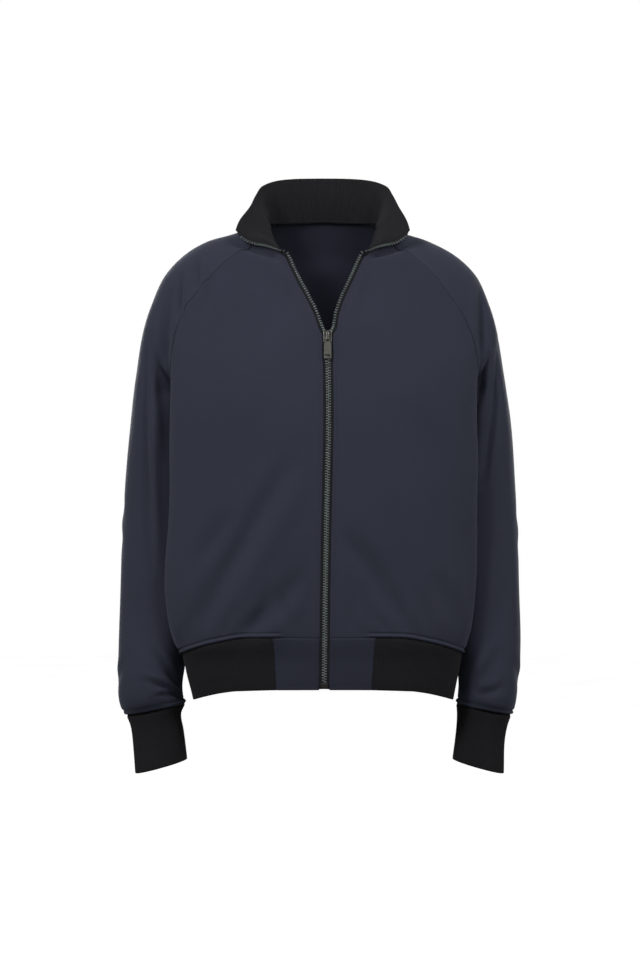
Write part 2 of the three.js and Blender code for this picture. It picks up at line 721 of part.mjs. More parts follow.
// Outer face, inner face and the rim that joins them along every open edge.
function wallMesh(panel) {
  const order = [...panel.pulls.keys()];
  const slot = new Map(order.map((id, index) => [id, index]));
  const positions = [];
  for (const depth of [0, panel.wall]) {
    for (const id of order) {
      const point = panel.points[id].clone().add(panel.pulls.get(id).pull);
      point.addScaledVector(panel.normals[id], -depth);
      positions.push(point.x, point.y, point.z);
    }
  }
  const inner = order.length;
  const triangles = [];
  const edges = new Map();
  for (const face of panel.faces) {
    const [a, b, c] = face.map((id) => slot.get(id));
    triangles.push(a, b, c, inner + a, inner + c, inner + b);
    for (const [from, to] of [[a, b], [b, c], [c, a]]) {
      if (!edges.delete(`${to}-${from}`)) {
        edges.set(`${from}-${to}`, [from, to]);
      }
    }
  }
  for (const [from, to] of edges.values()) {
    triangles.push(from, inner + to, to, from, inner + from, inner + to);
  }
  return meshFrom(panel.name, positions, triangles, panel.colour);
}

// ---- assembly ----

const frontRight = frontGrid(-1);
const frontLeft = frontGrid(1);
const back = backGrid();
const sleeveRight = sleeveGrid(-1);
const sleeveLeft = sleeveGrid(1);
const hemRight = hemGrid(-1);
const hemLeft = hemGrid(1);
const hemBack = hemBackGrid();

const cut = (rows, from, to) => rows.map((row) => row.slice(from, to));
const hemBand = hemBack.map((row, index) => [
  ...hemRight[index].slice(tabColumns, frontColumns),
  ...row,
  ...hemLeft[index].slice(tabColumns, frontColumns).reverse(),
]);

const top = (rows) => rows[rows.length - 1];
const neckline = [
  ...top(frontRight),
  ...top(sleeveRight).slice(1),
  ...top(back).slice(1),
  ...top(sleeveLeft).slice(0, -1).reverse(),
  ...top(frontLeft).slice(0, -1).reverse(),
];

const rib = { wall: ribWall, colour: colours.rib };
const panels = [
  makePanel('front_right', frontRight, { flip: true }),
  makePanel('front_left', frontLeft),
  makePanel('back', back, { flip: true }),
  makePanel('sleeve_right', sleeveRight, { flip: true, tubeRows: sleeveRows }),
  makePanel('sleeve_left', sleeveLeft, { tubeRows: sleeveRows }),
  makePanel('hem_tab_right', cut(hemRight, 0, tabColumns + 1), { flip: true }),
  makePanel('hem_tab_left', cut(hemLeft, 0, tabColumns + 1)),
  makePanel('hem_rib', hemBand, { ...rib, flip: true }),
  makePanel('cuff_right', cuffGrid(-1), { ...rib, flip: true, tubeRows: cuffRows }),
  makePanel('cuff_left', cuffGrid(1), { ...rib, tubeRows: cuffRows }),
  makePanel('collar', collarGrid(neckline), {
    wall: collarWall,
    hold: collarHold,
    colour: colours.rib,
    flip: true,
  }),
];
shareNormals(panels);
addFolds(panels);
shareNormals(panels);

// ---- zip ----

// Stations up one edge of the opening: the tab, the front, then the collar's front edge.
function zipStations(side) {
  const end = side < 0 ? 'right' : 'left';
  const stations = [];
  for (const name of [`hem_tab_${end}`, `front_${end}`, 'collar']) {
    const panel = panels.find((one) => one.name === name);
    const atEnd = name === 'collar' && side > 0;
    const index = atEnd ? panel.columns - 1 : 0;
    const inside = atEnd ? panel.columns - 2 : 1;
    panel.ids.forEach((line, row) => {
      const id = line[index];
      const joined = row === 0 && stations.length > 0;
      if (!joined) {
        stations.push({
          middle: panel.points[id].clone().addScaledVector(panel.normals[id], -panel.wall / 2),
          reach: panel.points[id].clone().sub(panel.points[line[inside]]).normalize(),
        });
      }
    });
  }
  const plainReach = stations.map((station) => station.reach.clone());
  for (let pass = 0; pass < twistPasses; pass += 1) {
    const before = stations.map((station) => station.reach.clone());
    for (let index = 1; index < stations.length - 1; index += 1) {
      stations[index].reach.add(before[index - 1]).add(before[index + 1]).normalize();
    }
  }
  stations.forEach((station, index) => {
    const above = stations[Math.min(stations.length - 1, index + 1)].middle;
    const below = stations[Math.max(0, index - 1)].middle;
    const along = above.clone().sub(below).normalize();
    station.reach.addScaledVector(along, -station.reach.dot(along)).normalize();
    station.face = station.reach.clone().cross(along).multiplyScalar(side);
    const turned = Math.min(1, station.reach.dot(plainReach[index]));
    station.clear = twistClear * Math.sqrt(1 - turned * turned);
  });
  return stations;
}

// A strip with a plain rectangular section, carried up the stations.
function zipStrip(name, side, from, to, thick, colour, finish) {
  const corners = [[from, thick / 2], [to, thick / 2], [to, -thick / 2], [from, -thick / 2]];
  const stations = zipStations(side);
  const positions = [];
  for (const { middle, reach, face, clear } of stations) {
    for (const [out, up] of corners) {
      const point = middle.clone().addScaledVector(reach, out + clear).addScaledVector(face, up);
      positions.push(point.x, point.y, point.z);
    }
  }
  const triangles = [];
  const add = (a, b, c) => triangles.push(...(side < 0 ? [a, c, b] : [a, b, c]));
  for (let row = 0; row < stations.length - 1; row += 1) {
    for (let corner = 0; corner < 4; corner += 1) {
      const next = (corner + 1) % 4;
      const [a, b, c, d] = [row * 4 + corner, row * 4 + next, row * 4 + 4 + next, row * 4 + 4 + corner];
      add(a, b, c);
      add(a, c, d);
    }
  }
  const end = (stations.length - 1) * 4;
  add(0, 2, 1);
  add(0, 3, 2);
  add(end, end + 1, end + 2);
  add(end, end + 2, end + 3);
  return meshFrom(name, positions, triangles, colour, finish);
}

const group = new THREE.Group();
group.name = 'zip_sweatshirt';
for (const panel of panels) {
  group.add(wallMesh(panel));
}
const tapeEnd = zipClear + tapeReveal;
const toothStart = tapeEnd + zipClear;
const toothFinish = { roughness: 0.42, metalness: 0.9 };
for (const [side, end] of [[-1, 'right'], [1, 'left']]) {
  group.add(zipStrip(`zip_tape_${end}`, side, zipClear, tapeEnd, tapeThick, colours.tape));
  group.add(zipStrip(
    `zip_teeth_${end}`,
    side,
    toothStart,
    toothStart + toothReach,
    toothThick,
    colours.teeth,
    toothFinish,
  ));
}

// Slider and pull are made flat, then set on the zip line and leant with the chest.
const solidMaker = await Module();
solidMaker.setup();

function toSolid(geometry) {
  const merged = mergeVertices(geometry.clone().deleteAttribute('normal').deleteAttribute('uv'));
  return new solidMaker.Manifold(new solidMaker.Mesh({
    numProp: 3,
    vertProperties: new Float32Array(merged.attributes.position.array),
    triVerts: new Uint32Array(merged.index.array),
  }));
}

// A block between two limits on each axis. out is away from the chest.
function block([left, right], [near, far], [low, high]) {
  const geometry = new THREE.BoxGeometry(right - left, far - near, high - low);
  geometry.translate((left + right) / 2, -(near + far) / 2, (low + high) / 2);
  return geometry;
}

function mirrored(limits) {
  return [[-limits[1], -limits[0]], limits];
}

function sliderGeometry() {
  const { halfWide, halfTall, plateNear, plateFar, flange, flangeNear, flangeHigh } = slider;
  const wide = [-halfWide, halfWide];
  const tall = [-halfTall, halfTall];
  const postWide = [-slider.postHalf, slider.postHalf];
  const postDeep = [-plateNear - slider.bite, plateNear + slider.bite];
  const blocks = [
    block(wide, [plateNear, plateFar], tall),
    block(wide, [-plateFar, -plateNear], tall),
    block(postWide, postDeep, slider.post),
  ];
  for (const sides of mirrored([halfWide - flange, halfWide])) {
    blocks.push(block(sides, [flangeNear, plateFar], [-halfTall, flangeHigh]));
    blocks.push(block(sides, [-plateFar, -flangeNear], [-halfTall, flangeHigh]));
  }
  const bailWide = [-bail.halfWide, bail.halfWide];
  blocks.push(block(bailWide, [plateFar - slider.bite, bail.far], [bail.low, bail.low + bail.leg]));
  blocks.push(block(bailWide, [plateFar - slider.bite, bail.far], [bail.high - bail.leg, bail.high]));
  blocks.push(block(bailWide, [bail.far - bail.leg, bail.far], [bail.low, bail.high]));
  const joined = solidMaker.Manifold.union(blocks.map(toSolid)).getMesh();
  const geometry = new THREE.BufferGeometry();
  geometry.setAttribute('position', new THREE.BufferAttribute(joined.vertProperties, 3));
  geometry.setIndex(Array.from(joined.triVerts));
  return geometry;
}

// Outline of a rectangle with its corners cut round.
function roundedOutline(target, halfWide, low, high, corner) {
  target.moveTo(-halfWide + corner, low);
  target.lineTo(halfWide - corner, low);
  target.quadraticCurveTo(halfWide, low, halfWide, low + corner);
  target.lineTo(halfWide, high - corner);
  target.quadraticCurveTo(halfWide, high, halfWide - corner, high);
  target.lineTo(-halfWide + corner, high);
  target.quadraticCurveTo(-halfWide, high, -halfWide, high - corner);
  target.lineTo(-halfWide, low + corner);
  target.quadraticCurveTo(-halfWide, low, -halfWide + corner, low);
  return target;
}

// Slot near the pull's lower end, with a tongue standing up from its lower side.
function slotOutline() {
  const { slotHalf, slotLow, slotHigh, tongueHalf, tongueTop } = pull;
  const slot = new THREE.Path();
  slot.moveTo(-slotHalf, slotLow);
  slot.lineTo(-tongueHalf, slotLow);
  slot.lineTo(-tongueHalf, tongueTop);
  slot.lineTo(tongueHalf, tongueTop);
  slot.lineTo(tongueHalf, slotLow);
  slot.lineTo(slotHalf, slotLow);
  slot.lineTo(slotHalf, slotHigh);
  slot.lineTo(-slotHalf, slotHigh);
  slot.closePath();
  return slot;
}

function pullGeometry() {
  const { neckHalf, tabHalf, top: topEdge, shoulder, bottom, eyeCorner } = pull;
  const outline = new THREE.Shape();
  outline.moveTo(-neckHalf, topEdge);
  outline.lineTo(-neckHalf, shoulder);
  outline.lineTo(-tabHalf, shoulder);
  outline.lineTo(-tabHalf, bottom + pull.corner);
  outline.quadraticCurveTo(-tabHalf, bottom, -tabHalf + pull.corner, bottom);
  outline.lineTo(tabHalf - pull.corner, bottom);
  outline.quadraticCurveTo(tabHalf, bottom, tabHalf, bottom + pull.corner);
  outline.lineTo(tabHalf, shoulder);
  outline.lineTo(neckHalf, shoulder);
  outline.lineTo(neckHalf, topEdge);
  outline.closePath();
  const eye = roundedOutline(new THREE.Path(), pull.eyeHalf, pull.eyeLow, topEdge - pull.bar, eyeCorner);
  outline.holes.push(eye, slotOutline());
  const geometry = new THREE.ExtrudeGeometry(outline, {
    depth: pull.thick,
    bevelEnabled: false,
    curveSegments: cornerSteps,
  });
  geometry.translate(0, 0, -pull.thick / 2);
  geometry.rotateX(Math.PI / 2);
  geometry.translate(0, -pull.out, 0);
  return mergeVertices(geometry.deleteAttribute('normal').deleteAttribute('uv'));
}

// The front's slope where the slider sits.
const sliderPlace = torsoPoint(1, 0, slider.z);
const sliderAbove = torsoPoint(1, 0, slider.z + slider.halfTall);
const sliderBelow = torsoPoint(1, 0, slider.z - slider.halfTall);
const chestLean = Math.atan2(sliderAbove.y - sliderBelow.y, sliderAbove.z - sliderBelow.z);

function addHardware(name, geometry, colour, finish) {
  geometry.rotateX(-chestLean);
  geometry.translate(zipX(slider.z), sliderPlace.y + bodyWall / 2, slider.z);
  const places = Array.from(geometry.attributes.position.array);
  group.add(meshFrom(name, places, Array.from(geometry.index.array), colour, finish));
}

const metalFinish = { roughness: 0.36, metalness: 0.85 };
addHardware('zip_slider', sliderGeometry(), colours.slider, metalFinish);
addHardware('zip_pull', pullGeometry(), colours.slider, metalFinish);

export default group;
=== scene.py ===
import json
import math
import bmesh
import bpy
import numpy as np
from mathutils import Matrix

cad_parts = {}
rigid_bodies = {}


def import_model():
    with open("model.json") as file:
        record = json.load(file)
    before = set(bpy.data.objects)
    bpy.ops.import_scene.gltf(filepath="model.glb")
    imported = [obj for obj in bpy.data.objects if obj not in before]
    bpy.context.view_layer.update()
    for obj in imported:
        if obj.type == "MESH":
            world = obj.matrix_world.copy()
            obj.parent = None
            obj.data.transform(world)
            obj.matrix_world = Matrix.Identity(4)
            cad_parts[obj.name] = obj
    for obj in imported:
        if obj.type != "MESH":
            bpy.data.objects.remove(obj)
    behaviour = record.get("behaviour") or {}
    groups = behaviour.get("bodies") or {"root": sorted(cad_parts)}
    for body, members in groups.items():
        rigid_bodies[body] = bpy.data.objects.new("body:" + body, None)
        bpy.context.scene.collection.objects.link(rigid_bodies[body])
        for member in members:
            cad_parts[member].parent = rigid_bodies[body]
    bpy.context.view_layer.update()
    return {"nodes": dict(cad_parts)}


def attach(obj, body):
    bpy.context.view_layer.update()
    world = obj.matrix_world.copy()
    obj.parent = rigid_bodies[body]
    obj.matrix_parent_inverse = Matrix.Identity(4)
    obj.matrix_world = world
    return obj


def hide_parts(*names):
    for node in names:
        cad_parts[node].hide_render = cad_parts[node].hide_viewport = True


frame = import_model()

# Zip-up sweatshirt kept in its worn form. Tables are in millimetres; meshes are made in metres.
# +Z is up, the wearer faces -Y and +X is the wearer's left. side is -1 for the wearer's right.
mm = 0.001
sideNames = {-1: "right", 1: "left"}
print("frame loaded:", len(frame["nodes"]), "nodes")


def table(names, *rows):  # named columns, one row for each section
    return {name: np.array([row[place] for row in rows], float) for place, name in enumerate(names.split())}


def mix(a, b, share):
    return a + (b - a) * share


def unit(vectors):
    return vectors / np.maximum(np.linalg.norm(vectors, axis=-1, keepdims=True), 1e-9)


def bell(distance, width):  # bell curve: e to the minus of distance over width, squared
    return np.exp(-(distance / width) ** 2)


def step(value):  # 0 below 0, 1 above 1, and 3s^2 - 2s^3 between
    value = np.clip(value, 0, 1)
    return value * value * (3 - 2 * value)


def gaps(line):  # distances between neighbouring points
    return np.linalg.norm(np.diff(line, axis=0), axis=1)


def runs(line):  # distance along a line, from its first point
    return np.concatenate([[0], np.cumsum(gaps(line))])


def filled(place, known, values):  # each coordinate filled in between known places
    return np.stack([np.interp(place, known, values[:, axis]) for axis in range(3)], -1)


# Cubic through a column of a table, with each row's slope taken from its neighbours.
def along(rows, key, at, name):
    keys, values = rows[key], rows[name]
    slopes = np.empty_like(values)
    slopes[1:-1] = (values[2:] - values[:-2]) / (keys[2:] - keys[:-2])
    slopes[0] = (values[1] - values[0]) / (keys[1] - keys[0])
    slopes[-1] = (values[-1] - values[-2]) / (keys[-1] - keys[-2])
    row = np.clip(np.searchsorted(keys, at, side="right") - 1, 0, len(keys) - 2)
    span = keys[row + 1] - keys[row]
    share = np.clip((at - keys[row]) / span, 0, 1)
    square, cube = share ** 2, share ** 3
    return (values[row] * (2 * cube - 3 * square + 1) + slopes[row] * span * (cube - 2 * square + share)
            + values[row + 1] * (3 * square - 2 * cube) + slopes[row + 1] * span * (cube - square))


# The cut: torso, seams and sleeves.

torso = table(
    "z right left front back square press pressY",
    (-612, 184, 183, 116, 100, 2.6, 16, -4),
    (-580, 192, 189, 118, 102, 2.7, 20, -2),
    (-553, 197, 194, 119, 104, 2.8, 24, 0),
    (-538, 206, 200, 121, 107, 2.9, 34, 2),
    (-510, 213, 205, 123, 109, 3.0, 44, 6),
    (-461, 216, 207, 124, 110, 3.0, 52, 12),
    (-380, 208, 206, 125, 112, 3.0, 52, 18),
    (-300, 206, 206, 125, 116, 3.0, 50, 20),
    (-226, 206, 207, 123, 120, 3.0, 48, 17),
    (-185, 208, 209, 118, 121, 2.8, 22, 15),
    (-140, 214, 211, 109, 119, 2.5, 0, 14),
    (-95, 216, 209, 98, 114, 2.3, 0, 14),
    (-60, 203, 197, 88, 106, 2.2, 0, 14),
    (-35, 182, 176, 78, 97, 2.2, 0, 14),
    (-12, 142, 137, 52, 84, 2.2, 0, 14),
    (14, 80, 80, 34, 68, 2.2, 0, 14))
pressWidth = 58
backNeckHeight = 14

hemLine = table(
    "angle seam edge",
    (-10, -527, -591), (40, -527, -592), (52, -534, -596),
    (70, -549, -607), (95, -555, -609), (180, -552, -606))
zipLine = table("z x", (-620, 0.4), (-450, 2.4), (-355, 4.2), (-250, 6.2), (-145, 5.0))
neckEdge = table(
    "rise z right left",
    (0, -145, -5.0, 5.0), (0.1, -137, -0.5, 10.2), (0.3, -118, 6, 13.5), (0.5, -98, 15.8, 20.4),
    (0.72, -76, 27.5, 30.5), (0.88, -57, 36.5, 39), (1, -41, 44, 46.5))
zipShare = 0.36
raglanFront = table(
    "t z angle",
    (0, -226, 95), (0.2, -197, 77.7), (0.36, -164, 73), (0.5, -128, 71),
    (0.64, -92, 67.2), (0.76, -63, 63.8), (0.88, -37, 58.8), (1, -12, 55))
raglanBack = table(
    "t z angle",
    (0, -226, 95), (0.2, -190, 108), (0.36, -152, 113), (0.5, -116, 115),
    (0.64, -80, 116), (0.76, -50, 118), (0.88, -20, 121), (1, 11, 126))
underarmAngle = 95
underarmZ = -226

# Sleeve lines: 0 at the neck, 1 at the underarm, 2 at the cuff seam.
sleeveOuter = table(
    "at right left y z",
    (0, 75, 75, 3, 9), (0.15, 113, 103, 6, -6), (0.3, 151, 135, 8, -17), (0.45, 184, 173, 10, -37),
    (0.6, 209, 201, 12, -64), (0.75, 224, 216, 13, -100), (0.88, 235, 226, 15, -140),
    (1, 243, 234, 17, -184), (1.06, 248, 239, 18, -214), (1.15, 252, 244, 19, -250),
    (1.3, 257, 249, 20, -312), (1.5, 263, 254, 18, -400), (1.7, 265, 255.5, 8, -482),
    (1.85, 266, 255, -3, -550), (1.95, 265.5, 251, -11, -602), (1.985, 262, 248, -13, -621),
    (2, 255, 243.5, -14, -631))
sleeveInner = (
    (1.04, 170, 170, 15, -237), (1.15, 176, 175, 16, -266), (1.3, 173, 171, 18, -320),
    (1.5, 170, 168, 17, -402), (1.7, 171, 168, 8, -480), (1.85, 178, 172, -3, -543),
    (1.95, 182, 175, -11, -588), (1.985, 181.5, 174.5, -13, -605), (2, 178, 172.5, -14, -616))
sleeveFull = table(
    "at depth wrap turn splay",
    (0, 50, 0, 0, 0), (0.55, 60, 0, 0, 0), (0.64, 60, 0.15, 0, 2), (0.72, 62, 0.45, 0.08, 12),
    (0.8, 64, 0.75, 0.25, 27), (0.86, 65, 0.9, 0.5, 42), (0.93, 66, 1, 0.75, 50),
    (1, 66, 1, 0.85, 48), (1.08, 66, 1, 1, 32), (1.15, 65, 1, 1, 18), (1.3, 62, 1, 1, 0),
    (1.5, 57, 1, 1, 0), (1.7, 53, 1, 1, 0), (1.85, 51, 1, 1, 0), (1.95, 49, 1, 1, 0),
    (1.985, 46, 1, 1, 0), (2, 38, 1, 1, 0))
cuffOuter = table(
    "at right left y z",
    (0, 255, 243.5, -14, -631), (0.2, 249, 238, -16, -646),
    (0.5, 246, 234, -18, -668), (1, 243, 232.5, -22, -705))
cuffInner = table(
    "at right left y z depth",
    (0, 178, 172.5, -14, -616, 38), (0.2, 184, 173.5, -16, -630, 34.5),
    (0.5, 181, 172, -18, -651, 33.5), (1, 176.5, 166.5, -22, -687, 33))
collarTop = table(
    "at right left y z bow",
    (0, 112, 110, -58, -9, 0), (0.12, 107, 106, -40, 5, 1), (0.25, 95, 97, -16, 24, 3),
    (0.4, 88, 90, 12, 42, 4), (0.55, 80, 82, 40, 57, 4), (0.75, 56, 57, 72, 68, 4),
    (1, 0, 0, 90, 72, 4), (1.25, -56, -57, 72, 68, 4))  # the last row mirrors one, for the slope at 1
handle = {"quarter": 0.55, "half": 4 / 3, "lean": 0.25}


# Super-ellipse: reach = ((|sin a|/half)^n + (|cos a|/depth)^n)^(-1/n), and the hanging arm presses
# the side in by press * e^-((y - pressY)/width)^4 * sin^2 a.
def torsoPoint(side, angle, z):
    angle, z = np.broadcast_arrays(np.asarray(angle, float), np.asarray(z, float))
    sine, cosine = np.sin(np.radians(angle)), np.cos(np.radians(angle))
    half = along(torso, "z", z, sideNames[side])
    depth = np.where(cosine > 0, along(torso, "z", z, "front"), along(torso, "z", z, "back"))
    square = along(torso, "z", z, "square")
    reach = (np.abs(sine / half) ** square + np.abs(cosine / depth) ** square) ** (-1 / square)
    y = -reach * cosine
    nearArm = (y - along(torso, "z", z, "pressY")) / pressWidth
    press = along(torso, "z", z, "press") * np.exp(-nearArm ** 4) * sine ** 2
    return np.stack([side * (reach * sine - press), y, z], -1)


def frontAngle(side, out, z):  # angle of the torso point that lies this far out from the middle front
    half, square = along(torso, "z", z, sideNames[side]), along(torso, "z", z, "square")
    depth = along(torso, "z", z, "front") * (1 - (np.abs(out) / half) ** square) ** (1 / square)
    return np.degrees(np.arctan2(out, depth))


def linePoint(rows, side, at):
    return np.stack([side * along(rows, "at", at, sideNames[side]), along(rows, "at", at, "y"),
                     along(rows, "at", at, "z")], -1)


def seamPoint(seam, side, t):
    return torsoPoint(side, along(seam, "t", t, "angle"), along(seam, "t", t, "z"))


# Shares of each row's own length. Every row is a trace of points, measured along and refilled evenly.
def evenly(traces, shares):
    over = np.linalg.norm(np.diff(traces, axis=1), axis=2)
    lengths = np.concatenate([np.zeros((len(traces), 1)), np.cumsum(over, axis=1)], axis=1)
    lengths /= lengths[:, -1:]
    place = (lengths[:, None, :] <= shares[None, :, None]).sum(2) - 1
    place = np.clip(place, 0, traces.shape[1] - 2)
    low, high = np.take_along_axis(lengths, place, 1), np.take_along_axis(lengths, place + 1, 1)
    share = ((shares[None] - low) / np.maximum(high - low, 1e-9))[..., None]
    ends = [np.take_along_axis(traces, (place + more)[..., None], 1) for more in (0, 1)]
    return mix(ends[0], ends[1], share)


# Shares from 0 to 1 along a length, close together near the ends that carry a seam:
# the spacing grows from fine to coarse with the distance from such an end.
def spacing(length, fine, coarse, low=True, high=True, edge=9):
    place = np.linspace(0, length, 1500)
    distance = np.minimum(place if low else length, length - place if high else length)
    density = 1 / mix(fine, coarse, step((distance - edge) / (2 * edge)))
    total = np.concatenate([[0], np.cumsum((density[1:] + density[:-1]) / 2 * np.diff(place))])
    count = math.ceil(total[-1])
    return np.interp(np.linspace(0, total[-1], count + 1), total, place) / length


cloth = {"wall": 1.5, "fine": 1.1, "coarse": 3.5, "trace": 160}
lengths = {"lower": 330, "cap": 245, "front": 250, "back": 225, "sleeve": 150, "arm": 425}


def clothSpacing(part, **ends):
    return spacing(lengths[part], cloth["fine"], cloth["coarse"], **ends)


lowerShares = clothSpacing("lower", high=False)
capShares = clothSpacing("cap", low=False)[1:]
frontShares = clothSpacing("front")
backShares = clothSpacing("back", high=False)
sleeveShares = clothSpacing("sleeve", high=False)
armShares = clothSpacing("arm", high=False)
traceShares = np.linspace(0, 1, cloth["trace"])
tabShare = 3 / 14
zipper = {"edge": 6.3, "pitch": 3.3}


def zipX(z):
    return along(zipLine, "z", z, "x")


def hemHeight(angle, share):
    return mix(along(hemLine, "angle", angle, "edge"), along(hemLine, "angle", angle, "seam"), share)


def bodyRows(side, fromAngle, toAngle, heightAt, shares):  # angles are one for each row
    angle = mix(fromAngle[:, None], np.broadcast_to(toAngle, fromAngle.shape)[:, None], traceShares[None])
    return evenly(torsoPoint(side, angle, heightAt(angle)), shares)


def frontGrid(side):
    share = lowerShares[:, None]
    height = lambda angle: mix(hemHeight(angle, 1), underarmZ, share)
    z = height(np.zeros((1, 1)))[:, 0]
    start = frontAngle(side, side * zipX(z) + zipper["edge"], z)
    lower = bodyRows(side, start, underarmAngle, height, frontShares)
    rise = np.clip((capShares - zipShare) / (1 - zipShare), 0, 1)
    closed = capShares <= zipShare
    below = mix(underarmZ, neckEdge["z"][0], capShares / zipShare)
    z = np.where(closed, below, along(neckEdge, "rise", rise, "z"))
    out = np.where(closed, side * zipX(z), along(neckEdge, "rise", rise, sideNames[side])) + zipper["edge"]
    seamZ = along(raglanFront, "t", capShares, "z")
    climb = lambda angle: mix(z[:, None], seamZ[:, None], traceShares[None])
    seamAngle = along(raglanFront, "t", capShares, "angle")
    cap = bodyRows(side, frontAngle(side, out, z), seamAngle, climb, frontShares)
    return np.concatenate([lower, cap])


def backGrid():  # rows run from the wearer's right to the left
    halves = []
    for side in (-1, 1):
        height = lambda angle: mix(hemHeight(angle, 1), underarmZ, lowerShares[:, None])
        lower = bodyRows(side, np.full(len(lowerShares), underarmAngle), 180, height, backShares)
        seamZ = along(raglanBack, "t", capShares, "z")
        middleZ = mix(underarmZ, backNeckHeight, capShares)
        climb = lambda angle: mix(seamZ[:, None], middleZ[:, None], traceShares[None])
        cap = bodyRows(side, along(raglanBack, "t", capShares, "angle"), 180, climb, backShares)
        halves.append(np.concatenate([lower, cap]))
    return np.concatenate([halves[0], halves[1][:, -2::-1]], axis=1)


# Cubic curve from a seam to the outer line: a quarter ellipse over the shoulder, and half of one
# round the arm, as wrap goes from 0 to 1. Front and back halves share the outer line.
def sleeveRows(frontSeam, outer, backSeam, full):
    halves = []
    for seam, facing in ((frontSeam, -1), (backSeam, 1)):
        lead = (outer - seam) * handle["quarter"] * (1 - full["wrap"])[:, None]
        lead[:, 0] += np.sign(outer[:, 0]) * full["splay"]
        run = outer[:, 1] - seam[:, 1]
        lead[:, 1] = (facing * full["depth"] * handle["half"] + run) * full["turn"]
        lead[:, 1] += run * handle["lean"] * (1 - full["wrap"])
        back = np.zeros_like(lead)
        shallow = handle["quarter"] * np.abs(run)
        back[:, 1] = facing * mix(shallow, full["depth"] * handle["half"], full["wrap"])
        s = traceShares[None, :, None]
        knots = [seam[:, None], (seam + lead)[:, None], (outer + back)[:, None], outer[:, None]]
        curve = (knots[0] * (1 - s) ** 3 + knots[1] * 3 * s * (1 - s) ** 2
                 + knots[2] * 3 * s ** 2 * (1 - s) + knots[3] * s ** 3)
        halves.append(evenly(curve, sleeveShares))
    return np.concatenate([halves[0], halves[1][:, -2::-1]], axis=1)


def sleeveGrid(side):
    armpit = torsoPoint(side, underarmAngle, underarmZ)
    reach = side * armpit[0]
    inner = table("at right left y z", (1, reach, reach, armpit[1], armpit[2]), *sleeveInner)
    fullness = lambda at: {name: along(sleeveFull, "at", at, name) for name in sleeveFull if name != "at"}
    at = 2 - armShares
    seam = linePoint(inner, side, at)
    arm = sleeveRows(seam, linePoint(sleeveOuter, side, at), seam, fullness(at))
    cap = sleeveRows(seamPoint(raglanFront, side, capShares), linePoint(sleeveOuter, side, 1 - capShares),
                     seamPoint(raglanBack, side, capShares), fullness(1 - capShares))
    return np.concatenate([arm, cap])


# Meshes from grids.

def gridFaces(rows, columns, flip, wrap=0):
    # wrap: how many of the first rows close into a tube. Returns mesh faces and the flat grid's own.
    place = np.arange(rows * columns).reshape(rows, columns)
    joined = place.copy()
    joined[:wrap, -1] = place[:wrap, 0]
    corners = [(slice(0, -1), slice(0, -1)), (slice(0, -1), slice(1, None)),
               (slice(1, None), slice(1, None)), (slice(1, None), slice(0, -1))]
    if flip:
        corners.reverse()
    return [np.stack([ids[corner].ravel() for corner in corners], -1) for ids in (joined, place)]


def gridNormals(points, faces):
    flat = points.reshape(-1, 3)
    corner = flat[faces]
    facing = np.cross(corner[:, 2] - corner[:, 0], corner[:, 3] - corner[:, 1])
    normals = np.zeros_like(flat)
    for place in range(4):
        np.add.at(normals, faces[:, place], facing)
    return unit(normals).reshape(points.shape)


def measured(points):  # distance along rows and columns, from each of the four edges
    over = np.linalg.norm(np.diff(points, axis=1), axis=2)
    up = np.linalg.norm(np.diff(points, axis=0), axis=2)
    left = np.concatenate([np.zeros((len(points), 1)), np.cumsum(over, axis=1)], axis=1)
    bottom = np.concatenate([np.zeros((1, points.shape[1])), np.cumsum(up, axis=0)], axis=0)
    return {"left": left, "right": left[:, -1:] - left, "bottom": bottom, "top": bottom[-1:] - bottom}


def addObject(name, data):
    piece = bpy.data.objects.new(name, data)
    bpy.context.scene.collection.objects.link(piece)
    return piece


def plainMesh(name, points, faces):
    mesh = bpy.data.meshes.new(name)
    mesh.from_pydata((points * mm).tolist(), [], faces)
    mesh.polygons.foreach_set("use_smooth", np.full(len(mesh.polygons), True))
    return addObject(name, mesh)


def clothMesh(name, points, size, faces, uvFaces):  # its UV map holds the distances along the cloth
    used, places = np.unique(faces, return_inverse=True)
    piece = plainMesh(name, points.reshape(-1, 3)[used], places.reshape(faces.shape).tolist())
    uv = np.stack([size["left"], size["bottom"]], -1).reshape(-1, 2)
    piece.data.uv_layers.new(name="cloth").data.foreach_set("uv", (uv[uvFaces.ravel()] * mm).ravel())
    return piece


def thicken(piece, wall):
    shell = piece.modifiers.new("wall", "SOLIDIFY")
    shell.thickness = wall * mm
    shell.offset = -1
    shell.use_rim = True


def finishPiece(piece, finish, slot, *replaced):
    piece.data.materials.append(finish)
    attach(piece, "garment")
    if replaced:
        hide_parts(*replaced)
    return piece


# Folds.

